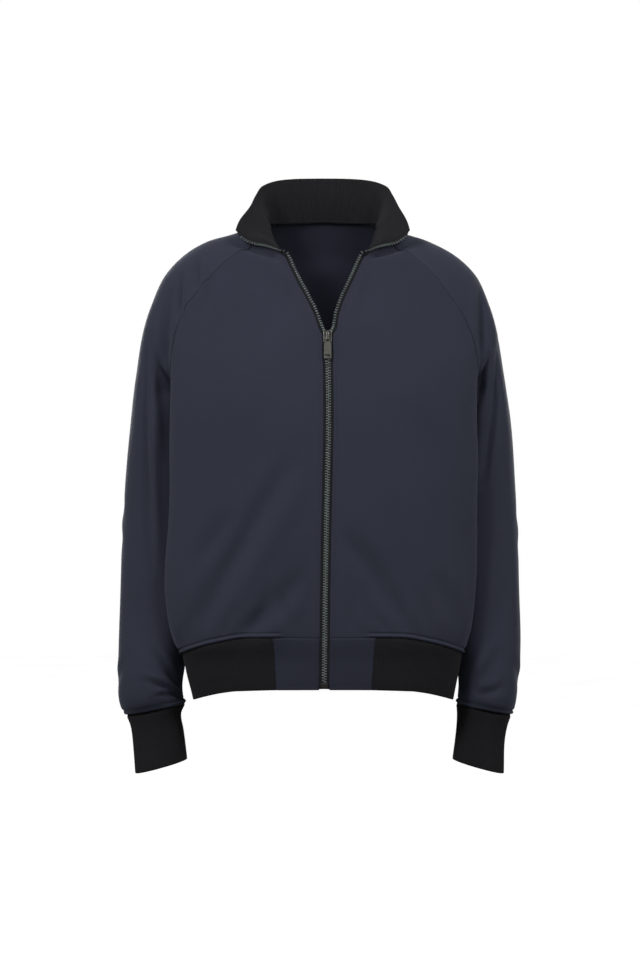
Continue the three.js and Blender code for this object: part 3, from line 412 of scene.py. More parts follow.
# Soft folds by width and height in the view they are seen in: from a point, towards a second, to a
# third. width: half the trough. depth: its depth, or a ridge's height when it is less than nothing.
# ridge: the swell beside it, as a share of the depth, on the left of its way when more than nothing.
folds = {
    "front": table(
        "x z viaX viaZ toX toZ width depth ridge",
        (-30, -290, -122, -430, -158, -520, 15, 4.4, 0.5),
        (-22, -436, -66, -500, -104, -523, 13, 3.6, 0.45),
        (-112, -360, -138, -402, -164, -440, 13, 2.6, 0.4),
        (-70, -200, -92, -300, -120, -372, 24, 1.4, 0.3),
        (-148, -455, -160, -500, -176, -540, 9, 2.0, -0.4),
        (-58, -455, -84, -494, -90, -522, 8, 1.3, 0.5),
        (14, -388, 62, -432, 96, -512, 15, 4.0, -0.5),
        (24, -430, 54, -478, 58, -512, 11, 2.6, -0.4),
        (142, -440, 150, -470, 156, -505, 12, 1.9, 0.4),
        (70, -330, 100, -420, 122, -520, 20, 1.6, -0.4),
        (60, -190, 110, -250, 150, -330, 26, 1.2, 0.3),
        (174, -380, 180, -440, 186, -520, 12, 1.6, -0.4),
        (-40, -60, -52, -92, -40, -130, 16, 1.8, 0.3),
        (52, -62, 62, -92, 50, -132, 16, 1.8, -0.3),
        (-183, -58, -186, -96, -183, -126, 5, 4.2, 0.4),
        (-158, -38, -164, -62, -159, -86, 4.5, 3.6, 0.5),
        (-197, -74, -203, -118, -203, -190, 5, 3.8, -0.5),
        (-202, -140, -201, -180, -197, -226, 4, 1.2, -0.3),
        (-126, -16, -84, -36, -40, -50, 5, 5.5, 0),
        (-146, -60, -144, -86, -150, -122, 6, 1.6, 0.3),
        (-226, -140, -234, -250, -221, -445, 5.5, 4.2, 0.8),
        (-212, -190, -205, -250, -199, -310, 6, 2.2, -0.5),
        (-217, -545, -196, -578, -172, -618, 4, 4.2, 0.8),
        (-232, -582, -204, -588, -172, -616, 3.5, 3.8, 0.8),
        (-214, -604, -196, -598, -172, -612, 3, 2.6, 0.8),
        (-246, -470, -240, -520, -222, -565, 12, 1.5, 0.4),
        (203, -76, 203, -118, 201, -170, 5, 4.2, -0.5),
        (203, -130, 204, -174, 199, -226, 4, 1.4, 0.3),
        (126, -16, 84, -36, 38, -50, 5, 5.5, 0),
        (226, -148, 221, -235, 204, -335, 5.5, 4.8, -0.8),
        (206, -170, 200, -228, 196, -272, 6, 2.2, 0.5),
        (226, -540, 212, -574, 190, -602, 8, 3.0, -0.7),
        (232, -588, 214, -604, 192, -600, 6, 2.2, -0.8),
        (238, -420, 232, -480, 214, -540, 12, 1.6, -0.4)),
    "small": table(
        "x z viaX viaZ toX toZ width depth ridge",
        (-176, -470, -172, -500, -178, -530, 7, 1.3, 0.4),
        (-140, -468, -150, -498, -152, -526, 7, 1.5, -0.4),
        (-112, -484, -122, -506, -126, -524, 6, 1.3, 0.4),
        (-78, -488, -88, -506, -94, -520, 6, 1.3, -0.4),
        (88, -466, 98, -496, 106, -520, 7, 1.5, 0.4),
        (120, -462, 128, -492, 130, -520, 7, 1.3, -0.4),
        (164, -466, 168, -498, 172, -526, 7, 1.3, 0.4),
        (64, -494, 74, -508, 78, -518, 5, 1.2, 0.4),
        (-52, -470, -48, -500, -40, -520, 8, 1.4, -0.4),
        (34, -466, 36, -496, 30, -518, 8, 1.4, 0.4)),
    "back": table(
        "x z viaX viaZ toX toZ width depth ridge",
        (-150, -230, -90, -268, -40, -330, 17, 3.2, 0.5),
        (152, -236, 96, -280, 52, -350, 17, 3.2, -0.5),
        (-60, -400, -112, -456, -140, -530, 16, 3.8, 0.5),
        (44, -410, 84, -470, 124, -532, 16, 3.8, -0.5),
        (-16, -452, -34, -500, -52, -538, 11, 2.6, 0.4),
        (92, -440, 124, -490, 158, -520, 11, 2.2, 0.5),
        (-120, -300, -136, -380, -166, -450, 14, 2.0, -0.4),
        (130, -320, 140, -400, 160, -470, 14, 2.0, 0.4),
        (-40, -46, 0, -62, 44, -44, 16, 1.6, 0.4),
        (-222, -260, -212, -350, -204, -430, 13, 3.4, 0.5),
        (214, -250, 206, -330, 200, -400, 13, 3.4, -0.5),
        (-230, -540, -214, -570, -196, -594, 8, 2.8, 0.6),
        (224, -536, 210, -566, 192, -592, 8, 2.8, -0.6),
        (-212, -150, -204, -200, -206, -250, 10, 1.8, 0.5),
        (208, -146, 200, -196, 202, -246, 10, 1.8, -0.5)),
    "right": table(
        "x z viaX viaZ toX toZ width depth ridge",
        (52, -330, 24, -362, 6, -372, 12, 1.2, 0.4),
        (50, -372, 26, -404, 4, -410, 11, 1.3, -0.4),
        (-44, -556, -26, -586, -6, -590, 8, 1.3, 0.5),
        (46, -540, 24, -574, 6, -584, 8, 1.2, -0.5)),
    "left": table(
        "x z viaX viaZ toX toZ width depth ridge",
        (52, -340, 26, -372, 8, -384, 12, 1.2, 0.4),
        (48, -384, 24, -412, 4, -420, 11, 1.1, -0.4),
        (-44, -556, -24, -586, -6, -590, 8, 1.3, 0.5),
        (44, -536, 22, -566, 4, -580, 8, 1.2, -0.5))}
foldCurve = {"scale": 1.6, "points": 19, "facing": 0.05, "power": 0.8, "end": 0.02,
             "swellAt": 1.7, "swellWide": 1.1}
foldViews = {  # axis seen across, axis seen along, and which way that one faces
    "front": (0, 1, -1), "small": (0, 1, -1), "back": (0, 1, 1), "right": (1, 0, -1), "left": (1, 0, 1)}


def foldRows(rows):  # one fold at a time, as plain numbers
    return np.stack([rows[name] for name in rows], -1).tolist()


# Each fold is a curve a(1-s)^2 + 2bs(1-s) + cs^2. A point at distance d from it, at share s, moves in
# by depth * sin(pi s)^0.8 * (bell(d) - ridge * bell(d - 1.7 widths to one side)), less where the
# cloth turns away.
def foldDepth(points, normals):
    flat, facing = points.reshape(-1, 3), normals.reshape(-1, 3)
    total = np.zeros(len(flat))
    share = np.linspace(0, 1, foldCurve["points"])
    for view, rows in folds.items():
        over, through, sign = foldViews[view]
        turned = np.clip(facing[:, through] * sign, 0, 1)
        for a, az, b, bz, c, cz, width, depth, ridge in foldRows(rows):
            near = turned > foldCurve["facing"]
            for axis, knots in ((over, (a, b, c)), (2, (az, bz, cz))):
                near &= (flat[:, axis] < max(knots) + 3 * width) & (flat[:, axis] > min(knots) - 3 * width)
            spots = flat[near][:, [over, 2]]
            if not len(spots):
                continue
            line = np.stack([one * (1 - share) ** 2 + 2 * two * share * (1 - share) + three * share ** 2
                             for one, two, three in ((a, b, c), (az, bz, cz))], -1)
            run = np.diff(line, axis=0)
            offset = spots[:, None] - line[None, :-1]
            part = np.clip((offset * run).sum(2) / (run ** 2).sum(1), 0, 1)
            gap = offset - part[..., None] * run
            square = (gap ** 2).sum(2)
            nearest = square.argmin(1)
            pick = np.arange(len(spots))
            distance = np.sqrt(square[pick, nearest])
            cross = run[nearest, 0] * gap[pick, nearest, 1] - run[nearest, 1] * gap[pick, nearest, 0]
            signed = distance * np.sign(cross)
            place = (nearest + part[pick, nearest]) / (len(line) - 1)
            beside = signed - np.sign(ridge) * foldCurve["swellAt"] * width
            swell = abs(ridge) * bell(beside, foldCurve["swellWide"] * width)
            place = np.clip(place, foldCurve["end"], 1 - foldCurve["end"])
            rise = np.sin(np.pi * place) ** foldCurve["power"]
            size = foldCurve["scale"] * depth * rise * (bell(signed, width) - swell)
            total[near] += size * np.sqrt(turned[near])
    return total.reshape(points.shape[:2])


# Slight unevenness of worn knit: three long sine waves across one another.
def unevenness(points):
    x, y, z = points[..., 0], points[..., 1], points[..., 2]
    return (0.35 * np.sin(x / 17 + z / 41) + 0.3 * np.sin(z / 23 - x / 37 + 1.3)
            + 0.25 * np.sin(y / 13 + z / 29 + 0.6))


# Shader helpers.

class Wire:  # a socket's value, on which sums add Math nodes
    def __init__(self, finish, socket):
        self.finish, self.socket = finish, socket

    def sum(self, operation, *values):
        return self.finish.add("ShaderNodeMath", {"operation": operation}, dict(enumerate(values)))

    def __add__(self, other):
        return self.sum("ADD", self, other)

    def __sub__(self, other):
        return self.sum("SUBTRACT", self, other)

    def __mul__(self, other):
        return self.sum("MULTIPLY", self, other)

    def __rsub__(self, other):
        return self.sum("SUBTRACT", other, self)

    def sine(self):
        return self.sum("SINE", self)

    __radd__, __rmul__ = __add__, __mul__


class Finish:  # one material and its nodes
    def __init__(self, name, **fixed):
        self.material = bpy.data.materials.new(name)
        self.material.use_nodes = True
        self.nodes = self.material.node_tree.nodes
        self.shader = self.nodes["Principled BSDF"]
        for socket, value in fixed.items():
            self.shader.inputs[socket.replace("_", " ")].default_value = value

    def add(self, kind, settings=None, inputs=None, output=0):
        node = self.nodes.new(kind)
        for name, value in (settings or {}).items():
            setattr(node, name, value)
        for name, value in (inputs or {}).items():
            self.feed(node.inputs[name], value)
        return Wire(self, node.outputs[output])

    def feed(self, socket, value):
        if isinstance(value, Wire):
            self.material.node_tree.links.new(value.socket, socket)
        else:
            socket.default_value = value

    def blend(self, share, first, second):
        return self.add("ShaderNodeMix", {"data_type": "RGBA"}, {0: share, 6: first, 7: second}, 2)

    def split(self, vector):
        parts = self.add("ShaderNodeSeparateXYZ", None, {0: vector})
        return [Wire(self, socket) for socket in parts.socket.node.outputs]

    def noise(self, scale, detail=2.0, roughness=0.5, vector=None):
        inputs = {"Scale": scale, "Detail": detail, "Roughness": roughness}
        inputs["Vector"] = vector or self.add("ShaderNodeTexCoord", output=3)
        return self.add("ShaderNodeTexNoise", None, inputs)

    def grain(self):  # the cloth's own two directions, in metres
        return self.add("ShaderNodeUVMap", {"uv_map": "cloth"})

    def bump(self, height, distance):
        node = self.add("ShaderNodeBump", None, {"Height": height, "Distance": distance, "Strength": 1})
        self.feed(self.shader.inputs["Normal"], node)

    def surface(self, colour, roughness=None):
        self.feed(self.shader.inputs["Base Color"], colour)
        if roughness is not None:
            self.feed(self.shader.inputs["Roughness"], roughness)


def rgb(red, green, blue):  # a screen colour, 0 to 255, as linear light
    return tuple(((part / 255 + 0.055) / 1.055) ** 2.4 for part in (red, green, blue)) + (1,)


# Smooth double knit: columns of small loops, a slight fleck between yarns and a soft bloom.
def knitFinish(name, dark, light, wale, course, depth, fleck, sheen, sheenTint):
    finish = Finish(name, Sheen_Weight=sheen, Sheen_Roughness=0.5, Sheen_Tint=sheenTint,
                    Specular_IOR_Level=0.1)
    u, v, _ = finish.split(finish.grain())
    wales = (u * (2 * math.pi / wale)).sine()
    loops = (v * (2 * math.pi / course) + wales * 1.2).sine()
    fine = finish.noise(900, 2)
    broad = finish.noise(14, 3, 0.55)
    share = fine * fleck + broad * 0.35 + (0.33 - fleck / 2)
    finish.surface(finish.blend(share, dark, light), 0.86 + (fine - 0.5) * 0.16)
    finish.bump((wales * 0.5 + loops * 0.35 + fine * 0.8) * 0.5 + 0.5, depth)
    return finish.material


# Painted or plated metal with handling marks: fine scratches along Z and duller patches.
def metalFinish(name, dark, light, metallic, low, high, grain):
    finish = Finish(name, Metallic=metallic)
    place = finish.add("ShaderNodeTexCoord", output=3)
    drawn = finish.add("ShaderNodeMapping", None, {"Vector": place, "Scale": (3.0, 3.0, 0.25)})
    scratches = finish.noise(grain, 4, 0.6, drawn)
    patches = finish.noise(180, 3, 0.6)
    finish.surface(finish.blend(scratches * 0.6 + patches * 0.4, dark, light), low + patches * (high - low))
    finish.bump(scratches, 0.00004)
    return finish.material


def tapeFinish(name, dark, light):
    finish = Finish(name, Sheen_Weight=0.02, Specular_IOR_Level=0.12)
    u, v, _ = finish.split(finish.grain())
    twill = ((u + v) * (2 * math.pi / 0.0011)).sine()
    fine = finish.noise(1400, 2)
    finish.surface(finish.blend(twill * 0.25 + fine * 0.5 + 0.25, dark, light), 0.74 + fine * 0.14)
    finish.bump(twill * 0.5 + fine * 0.3, 0.00018)
    return finish.material


def threadFinish(name, dark, light):
    finish = Finish(name, Sheen_Weight=0.05, Specular_IOR_Level=0.15)
    fine = finish.noise(2200, 2)
    finish.surface(finish.blend(fine, dark, light), 0.6 + fine * 0.2)
    finish.bump(fine, 0.00006)
    return finish.material


slate = (0.0012, 0.0010, 0.00016, 0.3)  # wale, course, depth in metres, and fleck
slateBloom = (0.75, 0.82, 1.0, 1)
finishes = {
    "cloth": knitFinish("slate double knit", rgb(28, 30, 40), rgb(37, 39, 50), *slate, 0.055, slateBloom),
    # The tabs' knit is the body's knit in darker colours: painted shade for the shade low on the front.
    "tab": knitFinish("slate knit darkened for painted shade", rgb(24, 26, 35), rgb(32, 34, 44), *slate, 0.05, slateBloom),
    "rib": knitFinish("black rib", rgb(11, 10, 11), rgb(20, 19, 22), 0.0014, 0.0011, 0.00022, 0.35,
                      0.03, (0.9, 0.92, 1.0, 1)),
    "thread": threadFinish("seam thread", rgb(20, 22, 30), rgb(34, 37, 47)),
    "tape": tapeFinish("zip tape", rgb(10, 11, 13), rgb(23, 25, 28)),
    "teeth": metalFinish("zip teeth", rgb(62, 68, 68), rgb(116, 124, 122), 0.85, 0.3, 0.5, 500),
    "gunmetal": metalFinish("gunmetal", rgb(46, 46, 43), rgb(74, 73, 68), 0.8, 0.34, 0.52, 420),
    "dark": metalFinish("blackened metal", rgb(14, 14, 13), rgb(30, 29, 27), 0.6, 0.4, 0.55, 420),
    "worn": metalFinish("worn edge", rgb(84, 84, 79), rgb(122, 121, 114), 0.9, 0.28, 0.42, 420)}
print("finishes made:", len(finishes))


# Body panels.

seam = {"dip": 1.6, "width": 1.4, "roll": 1.7, "rollWide": 2.4,
        "groove": 5.9, "grooveDeep": 1.7, "grooveWide": 1.2}
frontEdge = {"round": 0.7, "roundWide": 1.1, "stitch": 3.4, "dip": 0.25, "dipWide": 0.8,
             "ribBefore": 13, "ribFade": 5, "stitchBefore": 9}  # before: how far short of the tab's end
plainStrip = {"wide": 9, "fade": 18}  # beside the zip, with no folds
farFromZip = 99
stitches = []  # runs of (points, normals), filled as the panels are made


def seamDip(distance):
    return seam["dip"] * bell(distance, seam["width"])


# Turned-up edge above a rib: a low swell, then the groove that its topstitching pulls in.
def edgeRoll(distance):
    return (seam["roll"] * bell(distance - seam["groove"] / 2, seam["rollWide"])
            - seam["grooveDeep"] * bell(distance - seam["groove"], seam["grooveWide"]) - seamDip(distance))


# Moved out along the surface by relief, less the folds. zipSide is the distance from the zip, near
# which there are no folds.
def shaped(points, faces, relief, zipSide):
    normals = gridNormals(points, faces)
    wear = unevenness(points) - foldDepth(points, normals)
    wear = wear * step((zipSide - plainStrip["wide"]) / plainStrip["fade"])
    moved = points + normals * (relief + wear)[..., None]
    return moved, gridNormals(moved, faces)


# The line across a grid at one distance from an edge, filled in between its rows or columns.
def lineAt(points, normals, distance, value, axis):
    if axis:
        points, normals, distance = points.swapaxes(0, 1), normals.swapaxes(0, 1), distance.T
    if distance[0, 0] > distance[-1, 0]:
        points, normals, distance = points[::-1], normals[::-1], distance[::-1]
    row = np.clip((distance < value).sum(0), 1, len(distance) - 1)
    column = np.arange(distance.shape[1])
    low, high = distance[row - 1, column], distance[row, column]
    share = ((value - low) / (high - low))[:, None]
    return (mix(points[row - 1, column], points[row, column], share),
            unit(mix(normals[row - 1, column], normals[row, column], share)))


def makePanel(name, base, flip, relief, wrap=0):
    faces, flatFaces = gridFaces(*base.shape[:2], flip, wrap)
    size = measured(base)
    zipSide = size["left"] if relief is frontRelief else farFromZip
    moved, normals = shaped(base, faces, relief(size), zipSide)
    piece = clothMesh(name, moved, size, faces, flatFaces)
    thicken(piece, cloth["wall"])
    return piece, moved, normals, size


def frontRelief(size):
    tabEnd = size["left"][0, -1] * tabShare
    ribbed = step((size["left"] - tabEnd + frontEdge["ribBefore"]) / frontEdge["ribFade"])
    return (mix(-seamDip(size["bottom"]) / 4, edgeRoll(size["bottom"]), ribbed) - seamDip(size["top"])
            - seamDip(size["right"]) - frontEdge["round"] * bell(size["left"], frontEdge["roundWide"])
            - frontEdge["dip"] * bell(size["left"] - frontEdge["stitch"], frontEdge["dipWide"]))


def backRelief(size):
    return edgeRoll(size["bottom"]) - seamDip(size["top"]) - seamDip(size["left"]) - seamDip(size["right"])


# The sleeve's front is fuller where it lies along the body, from above the cuff to the underarm,
# and fuller still near the armpit.
armFill = {"out": 4.5, "at": 52, "wide": 17, "low": 8, "high": 440, "fade": 80,
           "more": 7, "moreAt": 398, "moreWide": 38}
armpitEase = {"up": 415, "tall": 55, "over": 50, "wide": 38, "rounds": 150, "seam": 5, "seamFade": 12}


def sleeveRelief(size):
    window = step((size["bottom"] - armFill["low"]) / armFill["fade"])
    window = window * step((armFill["high"] - size["bottom"]) / armFill["fade"])
    nearArmpit = bell(size["bottom"] - armFill["moreAt"], armFill["moreWide"])
    out = armFill["out"] * window + armFill["more"] * nearArmpit
    return backRelief(size) + out * bell(size["left"] - armFill["at"], armFill["wide"])


def makeFront(side):
    name = f"frontPanel_{sideNames[side]}"
    base = frontGrid(side)
    piece, points, normals, size = makePanel(name, base, side < 0, frontRelief)
    finishPiece(piece, finishes["cloth"], "cloth", f"front_{sideNames[side]}")
    stitches.append(lineAt(points, normals, size["left"], frontEdge["stitch"], 1))
    beyond = size["left"][0] > size["left"][0, -1] * tabShare - frontEdge["stitchBefore"]
    line, way = lineAt(points, normals, size["bottom"], seam["groove"], 0)
    stitches.append((line[beyond], way[beyond]))
    return base


def makeBack():
    base = backGrid()
    piece, points, normals, size = makePanel("backPanel", base, True, backRelief)
    finishPiece(piece, finishes["cloth"], "cloth", "back")
    stitches.append(lineAt(points, normals, size["bottom"], seam["groove"], 0))
    return base


# The front of the armpit is eased: in each round a point goes to the mean of its four neighbours, by
# a share that falls off as a bell curve away from the middle of the place.
def easedArmpit(points):
    size = measured(points)
    share = bell(size["bottom"] - armpitEase["up"], armpitEase["tall"])
    share = share * bell(size["left"] - armpitEase["over"], armpitEase["wide"])
    share = share * step((size["left"] - armpitEase["seam"]) / armpitEase["seamFade"])
    share = share[1:-1, 1:-1, None]
    for _ in range(armpitEase["rounds"]):
        middle = (points[:-2, 1:-1] + points[2:, 1:-1] + points[1:-1, :-2] + points[1:-1, 2:]) / 4
        points[1:-1, 1:-1] = mix(points[1:-1, 1:-1], middle, share)
    return points


def makeSleeve(side):
    name = f"sleevePanel_{sideNames[side]}"
    base = easedArmpit(sleeveGrid(side))
    piece, points, normals, size = makePanel(name, base, side < 0, sleeveRelief, len(armShares))
    finishPiece(piece, finishes["cloth"], "cloth", f"sleeve_{sideNames[side]}")
    stitches.append(lineAt(points, normals, size["bottom"], seam["groove"], 0))
    return base


panels = {f"front_{sideNames[side]}": makeFront(side) for side in (-1, 1)}
panels["back"] = makeBack()
panels.update({f"sleeve_{sideNames[side]}": makeSleeve(side) for side in (-1, 1)})
print("body panels made:", len(panels))


# Ribs, tabs and collar: cloth doubled over at its free edge.

rib = {"wall": 2.2, "wale": 2.7, "columnsPerWale": 4, "height": 0.28, "tuck": 1.8, "tuckWide": 2.6,
       "under": 1.6, "arcSteps": 4, "aboveSeam": 0.025}
collar = {"wall": 2.6, "wale": 2.4, "height": 0.22, "sway": 3.5, "swayWide": 24, "under": 3.4, "tuck": 1.6,
          "tall": 85, "fine": 1.2, "coarse": 3.2, "endFade": 6}


# Outer face from the seam to the fold, half a circle round the fold, and the inner face back to the
# seam: edge + wall/2 * (cos a * facing + sin a * onwards - facing), with a from 0 to pi.
# Known fault: the normals are those of the relief, so the inner face of a ribbed piece crosses itself.
def makeDoubled(name, outer, normals, wall, flip, tube=False):
    onwards = outer[-1] - outer[-2]
    onwards = unit(onwards - (onwards * normals[-1]).sum(-1, keepdims=True) * normals[-1])
    angle = np.linspace(0, math.pi, rib["arcSteps"] + 2)[1:-1, None, None]
    arc = outer[-1] + wall / 2 * ((np.cos(angle) - 1) * normals[-1] + np.sin(angle) * onwards)
    points = np.concatenate([outer, arc, (outer - wall * normals)[::-1]])
    rows, columns = points.shape[:2]
    faces, flatFaces = gridFaces(rows, columns, flip, rows if tube else 0)
    place = np.arange(rows * columns).reshape(rows, columns)
    last = place[:, :-1].copy(), place[:, 1:].copy()
    if tube:
        last[1][:, -1] = place[:, 0]
    ring = np.stack([last[0][-1], last[1][-1], last[1][0], last[0][0]], -1)
    extra = [ring]
    if not tube:
        half = np.arange(rows // 2 - 1)
        for column, order in ((0, slice(None)), (-1, slice(None, None, -1))):
            line = place[:, column]
            corners = [line[half], line[half + 1], line[rows - 2 - half], line[rows - 1 - half]]
            extra.append(np.stack(corners, -1)[:, order])
    extra = np.concatenate(extra)
    if flip:
        extra = extra[:, ::-1]
    faces, flatFaces = np.concatenate([faces, extra]), np.concatenate([flatFaces, extra])
    return clothMesh(name, points, measured(points), faces, flatFaces)


def waleWave(points, height):  # height * cos(2 pi * column / columns in a wale)
    wave = np.cos(np.arange(points.shape[1]) * 2 * math.pi / rib["columnsPerWale"])
    return height * np.broadcast_to(wave, points.shape[:2])


def waleShares(line, wale):
    return np.linspace(0, 1, rib["columnsPerWale"] * round(gaps(line).sum() / wale) + 1)


def hemTraces(side, share, fromShare, toShare, count):
    height = lambda angle: hemHeight(angle, share[:, None])
    z = height(np.zeros((1, 1)))[:, 0]
    start = frontAngle(side, side * zipX(z) + zipper["edge"], z)
    return bodyRows(side, start, underarmAngle, height, np.linspace(fromShare, toShare, count))


def makeHemRib(rowCount=16):
    share = np.linspace(1 + rib["aboveSeam"], 0, rowCount)  # starts under the body's edge
    height = lambda angle: hemHeight(angle, share[:, None])
    fronts = [hemTraces(side, share, tabShare, 1, 80) for side in (-1, 1)]
    underarm = np.full(rowCount, underarmAngle)
    backs = [bodyRows(side, underarm, 180, height, np.linspace(0, 1, 90)) for side in (-1, 1)]
    traces = [fronts[0][:, :-1], backs[0][:, :-1], backs[1][:, :0:-1], fronts[1][:, ::-1]]
    traces = np.concatenate(traces, axis=1)
    base = evenly(traces, waleShares(traces[0], rib["wale"]))
    return makeRib("hemBand", base, False, "hem_rib")


def makeRib(name, base, flip, node, tube=False):  # rows run from the seam to the folded edge
    faces, _ = gridFaces(*base.shape[:2], flip, len(base) if tube else 0)
    tuck = rib["tuck"] * bell(measured(base)["bottom"], rib["tuckWide"])
    moved, normals = shaped(base, faces, waleWave(base, rib["height"]) - tuck, farFromZip)
    piece = makeDoubled(name, moved, normals, rib["wall"], flip, tube)
    return finishPiece(piece, finishes["rib"], "rib", node)


def makeCuff(side):
    at = np.linspace(0, 1, 22)
    seamLine, outerLine = linePoint(cuffInner, side, at), linePoint(cuffOuter, side, at)
    seamLine[0, 2] += rib["under"]
    outerLine[0, 2] += rib["under"]
    full = np.ones(len(at))
    fullness = {"depth": along(cuffInner, "at", at, "depth"), "wrap": full, "turn": full, "splay": full * 0}
    traces = sleeveRows(seamLine, outerLine, seamLine, fullness)
    base = evenly(traces, waleShares(traces[0], rib["wale"]))
    name = sideNames[side]
    return makeRib(f"cuffBand_{name}", base, side > 0, f"cuff_{name}", True)


def makeTab(side):
    base = hemTraces(side, np.linspace(1, 0, 26), 0, tabShare, 20)
    flip = side > 0
    faces, _ = gridFaces(*base.shape[:2], flip)
    size = measured(base)
    relief = -seamDip(size["bottom"]) / 4 - seamDip(size["right"])
    relief -= frontEdge["round"] * bell(size["left"], frontEdge["roundWide"])
    relief -= frontEdge["dip"] * bell(size["left"] - frontEdge["stitch"], frontEdge["dipWide"])
    moved, normals = shaped(base, faces, relief, size["left"])
    piece = makeDoubled(f"hemTab_{sideNames[side]}", moved, normals, rib["wall"], flip)
    # The tab takes the darker copy of the body knit, and that darkness is painted shade.
    finishPiece(piece, finishes["tab"], "cloth", f"hem_tab_{sideNames[side]}")
    stitches.append(lineAt(moved, normals, size["left"], frontEdge["stitch"], 1))
    return base[::-1]


makeHemRib()
for side in (-1, 1):
    makeCuff(side)
tabs = {side: makeTab(side) for side in (-1, 1)}


# Each line of the collar, from its foot to the top edge, is foot(1-s)^2 + 2*handle*s(1-s) + top*s^2,
# and the handle lies twice the bow in from their middle.
def collarGrid():
    neck = [panels["front_right"][-1], panels["sleeve_right"][-1][1:], panels["back"][-1][1:],
            panels["sleeve_left"][-1][-2::-1], panels["front_left"][-1][-2::-1]]
    neckline = np.concatenate(neck)[None]
    length = gaps(neckline[0]).sum()
    share = waleShares(neckline[0], collar["wale"])
    foot = evenly(neckline, share)[0]
    at = 2 * np.minimum(share, 1 - share)
    top = np.where((share < 0.5)[:, None], *[linePoint(collarTop, side, at) for side in (-1, 1)])
    inwards = unit(-foot * (1, 1, 0))
    middle = (foot + top) / 2 + 2 * along(collarTop, "at", at, "bow")[:, None] * inwards
    rows = spacing(collar["tall"], collar["fine"], collar["coarse"])
    s = np.concatenate([[-collar["under"] / collar["tall"]], rows])[:, None, None]  # starts under the panels
    grid = foot * (1 - s) ** 2 + 2 * middle * s * (1 - s) + top * s ** 2
    ends = bell(np.minimum(share, 1 - share) * length, collar["swayWide"])
    grid[..., 2] += collar["sway"] * np.sin(2 * math.pi * np.clip(s[..., 0], 0, 1)) * ends
    return grid


def makeCollar():
    base = collarGrid()
    faces, _ = gridFaces(*base.shape[:2], True)
    size = measured(base)
    end = np.minimum(size["left"], size["right"])
    tuck = collar["tuck"] * bell(size["bottom"], rib["tuckWide"])
    relief = waleWave(base, collar["height"]) * step(end / collar["endFade"]) - tuck
    moved, normals = shaped(base, faces, relief, end)
    piece = makeDoubled("standCollar", moved, normals, collar["wall"], True)
    finishPiece(piece, finishes["rib"], "rib", "collar")
    return base[1:]


collarBase = makeCollar()
print("ribs and collar made")


# Zip.

zipEdge = {"step": 1.5, "inward": 8, "smoothLine": 3.5, "smoothWay": 14.0, "bottomGap": 8, "topGap": 9,
           "sink": 1.0, "collarSink": 1.3, "cornerWide": 26, "cornerFade": 12, "narrowing": 0.9, "carry": 3.0}
# Tooth, from its root at the cord to its head: reach from the cloth's edge, half its height and half
# its thickness.
tooth = table(
    "reach half thick",
    (3.1, 0.5, 0.9), (3.5, 0.75, 1.2), (5.4, 0.75, 1.2), (6.4, 0.6, 1.0), (6.9, 0.42, 0.7))
tape = {"points": ((-9, 0.9), (-1, 0.9), (1.2, 0.45), (3.2, 0)), "thick": 0.7}  # reach, drop
cord = {"reach": 3.0, "wide": 0.8, "deep": 1.0, "sides": 10}


def smoothed(values, width):  # weighted mean of the neighbours, by a bell curve of this width
    reach = int(3 * width / zipEdge["step"])
    weights = bell(np.arange(-reach, reach + 1) * zipEdge["step"], width)
    padded = np.pad(values, ((reach, reach), (0, 0)), "edge")
    return np.stack([np.convolve(padded[:, axis], weights / weights.sum(), "valid") for axis in range(3)], -1)


# The edge of one side's tab, front and collar as one line, with the ways out of the cloth and off
# its face.
def edgeLine(side):
    parts = [tabs[side], panels[f"front_{sideNames[side]}"], collarBase if side < 0 else collarBase[:, ::-1]]
    lines, inners = [], []
    for part in parts:
        size = measured(part)
        inner, _ = lineAt(part, part, size["left"], zipEdge["inward"], 1)
        lines.append(part[:, 0] if not lines else part[1:, 0])
        inners.append(inner if not inners else inner[1:])
    line, inner = np.concatenate(lines), np.concatenate(inners)
    length = runs(line)
    place = np.arange(0, length[-1], zipEdge["step"])
    past = place - length[-len(lines[-1])]  # beyond the neck's corner
    inCloth = 1 - step(past / zipEdge["cornerFade"] + 0.5)[:, None]
    line, inner = filled(place, length, line), filled(place, length, inner)
    reach = smoothed(unit(line - inner), zipEdge["smoothWay"])
    line = smoothed(line, zipEdge["smoothLine"])
    way = unit(np.gradient(line, axis=0))
    reach = unit(reach - (reach * way).sum(-1, keepdims=True) * way)
    facing = side * np.cross(way, reach)
    sink = mix(zipEdge["collarSink"], zipEdge["sink"], inCloth)
    return {"place": place, "line": line - facing * sink, "way": way, "reach": reach, "facing": facing,
            "inCloth": inCloth, "past": past}


def edgeAt(edge, place):
    line, *ways = [filled(place, edge["place"], edge[name]) for name in ("line", "way", "reach", "facing")]
    return line, *map(unit, ways)


# A closed outline of (reach, off the face) carried up the edge, with flat ends. drop is how far
# each of its points lies behind the cloth; in the collar they stay in the middle of its thickness.
def carried(name, edge, outline, drop, fromPlace, toPlace, flip):
    place = np.arange(fromPlace, toPlace, zipEdge["carry"])
    line, _, reach, facing = edgeAt(edge, place)
    inCloth = np.interp(place, edge["place"], edge["inCloth"][:, 0])[:, None, None]
    corner = bell(np.interp(place, edge["place"], edge["past"]), zipEdge["cornerWide"])[:, None, None]
    narrow = 1 - zipEdge["narrowing"] * corner
    outline, drop = np.array(outline)[None], np.array(drop)[None, :, None]
    over = np.where(outline[..., :1] < 0, outline[..., :1] * narrow, outline[..., :1])
    points = line[:, None] + over * reach[:, None] + (outline[..., 1:] - drop * inCloth) * facing[:, None]
    points = np.concatenate([points, points[:, :1]], axis=1)
    faces, flatFaces = gridFaces(*points.shape[:2], flip, len(points))
    piece = clothMesh(name, points, measured(points), faces, flatFaces)
    closeEnds(piece)
    return piece


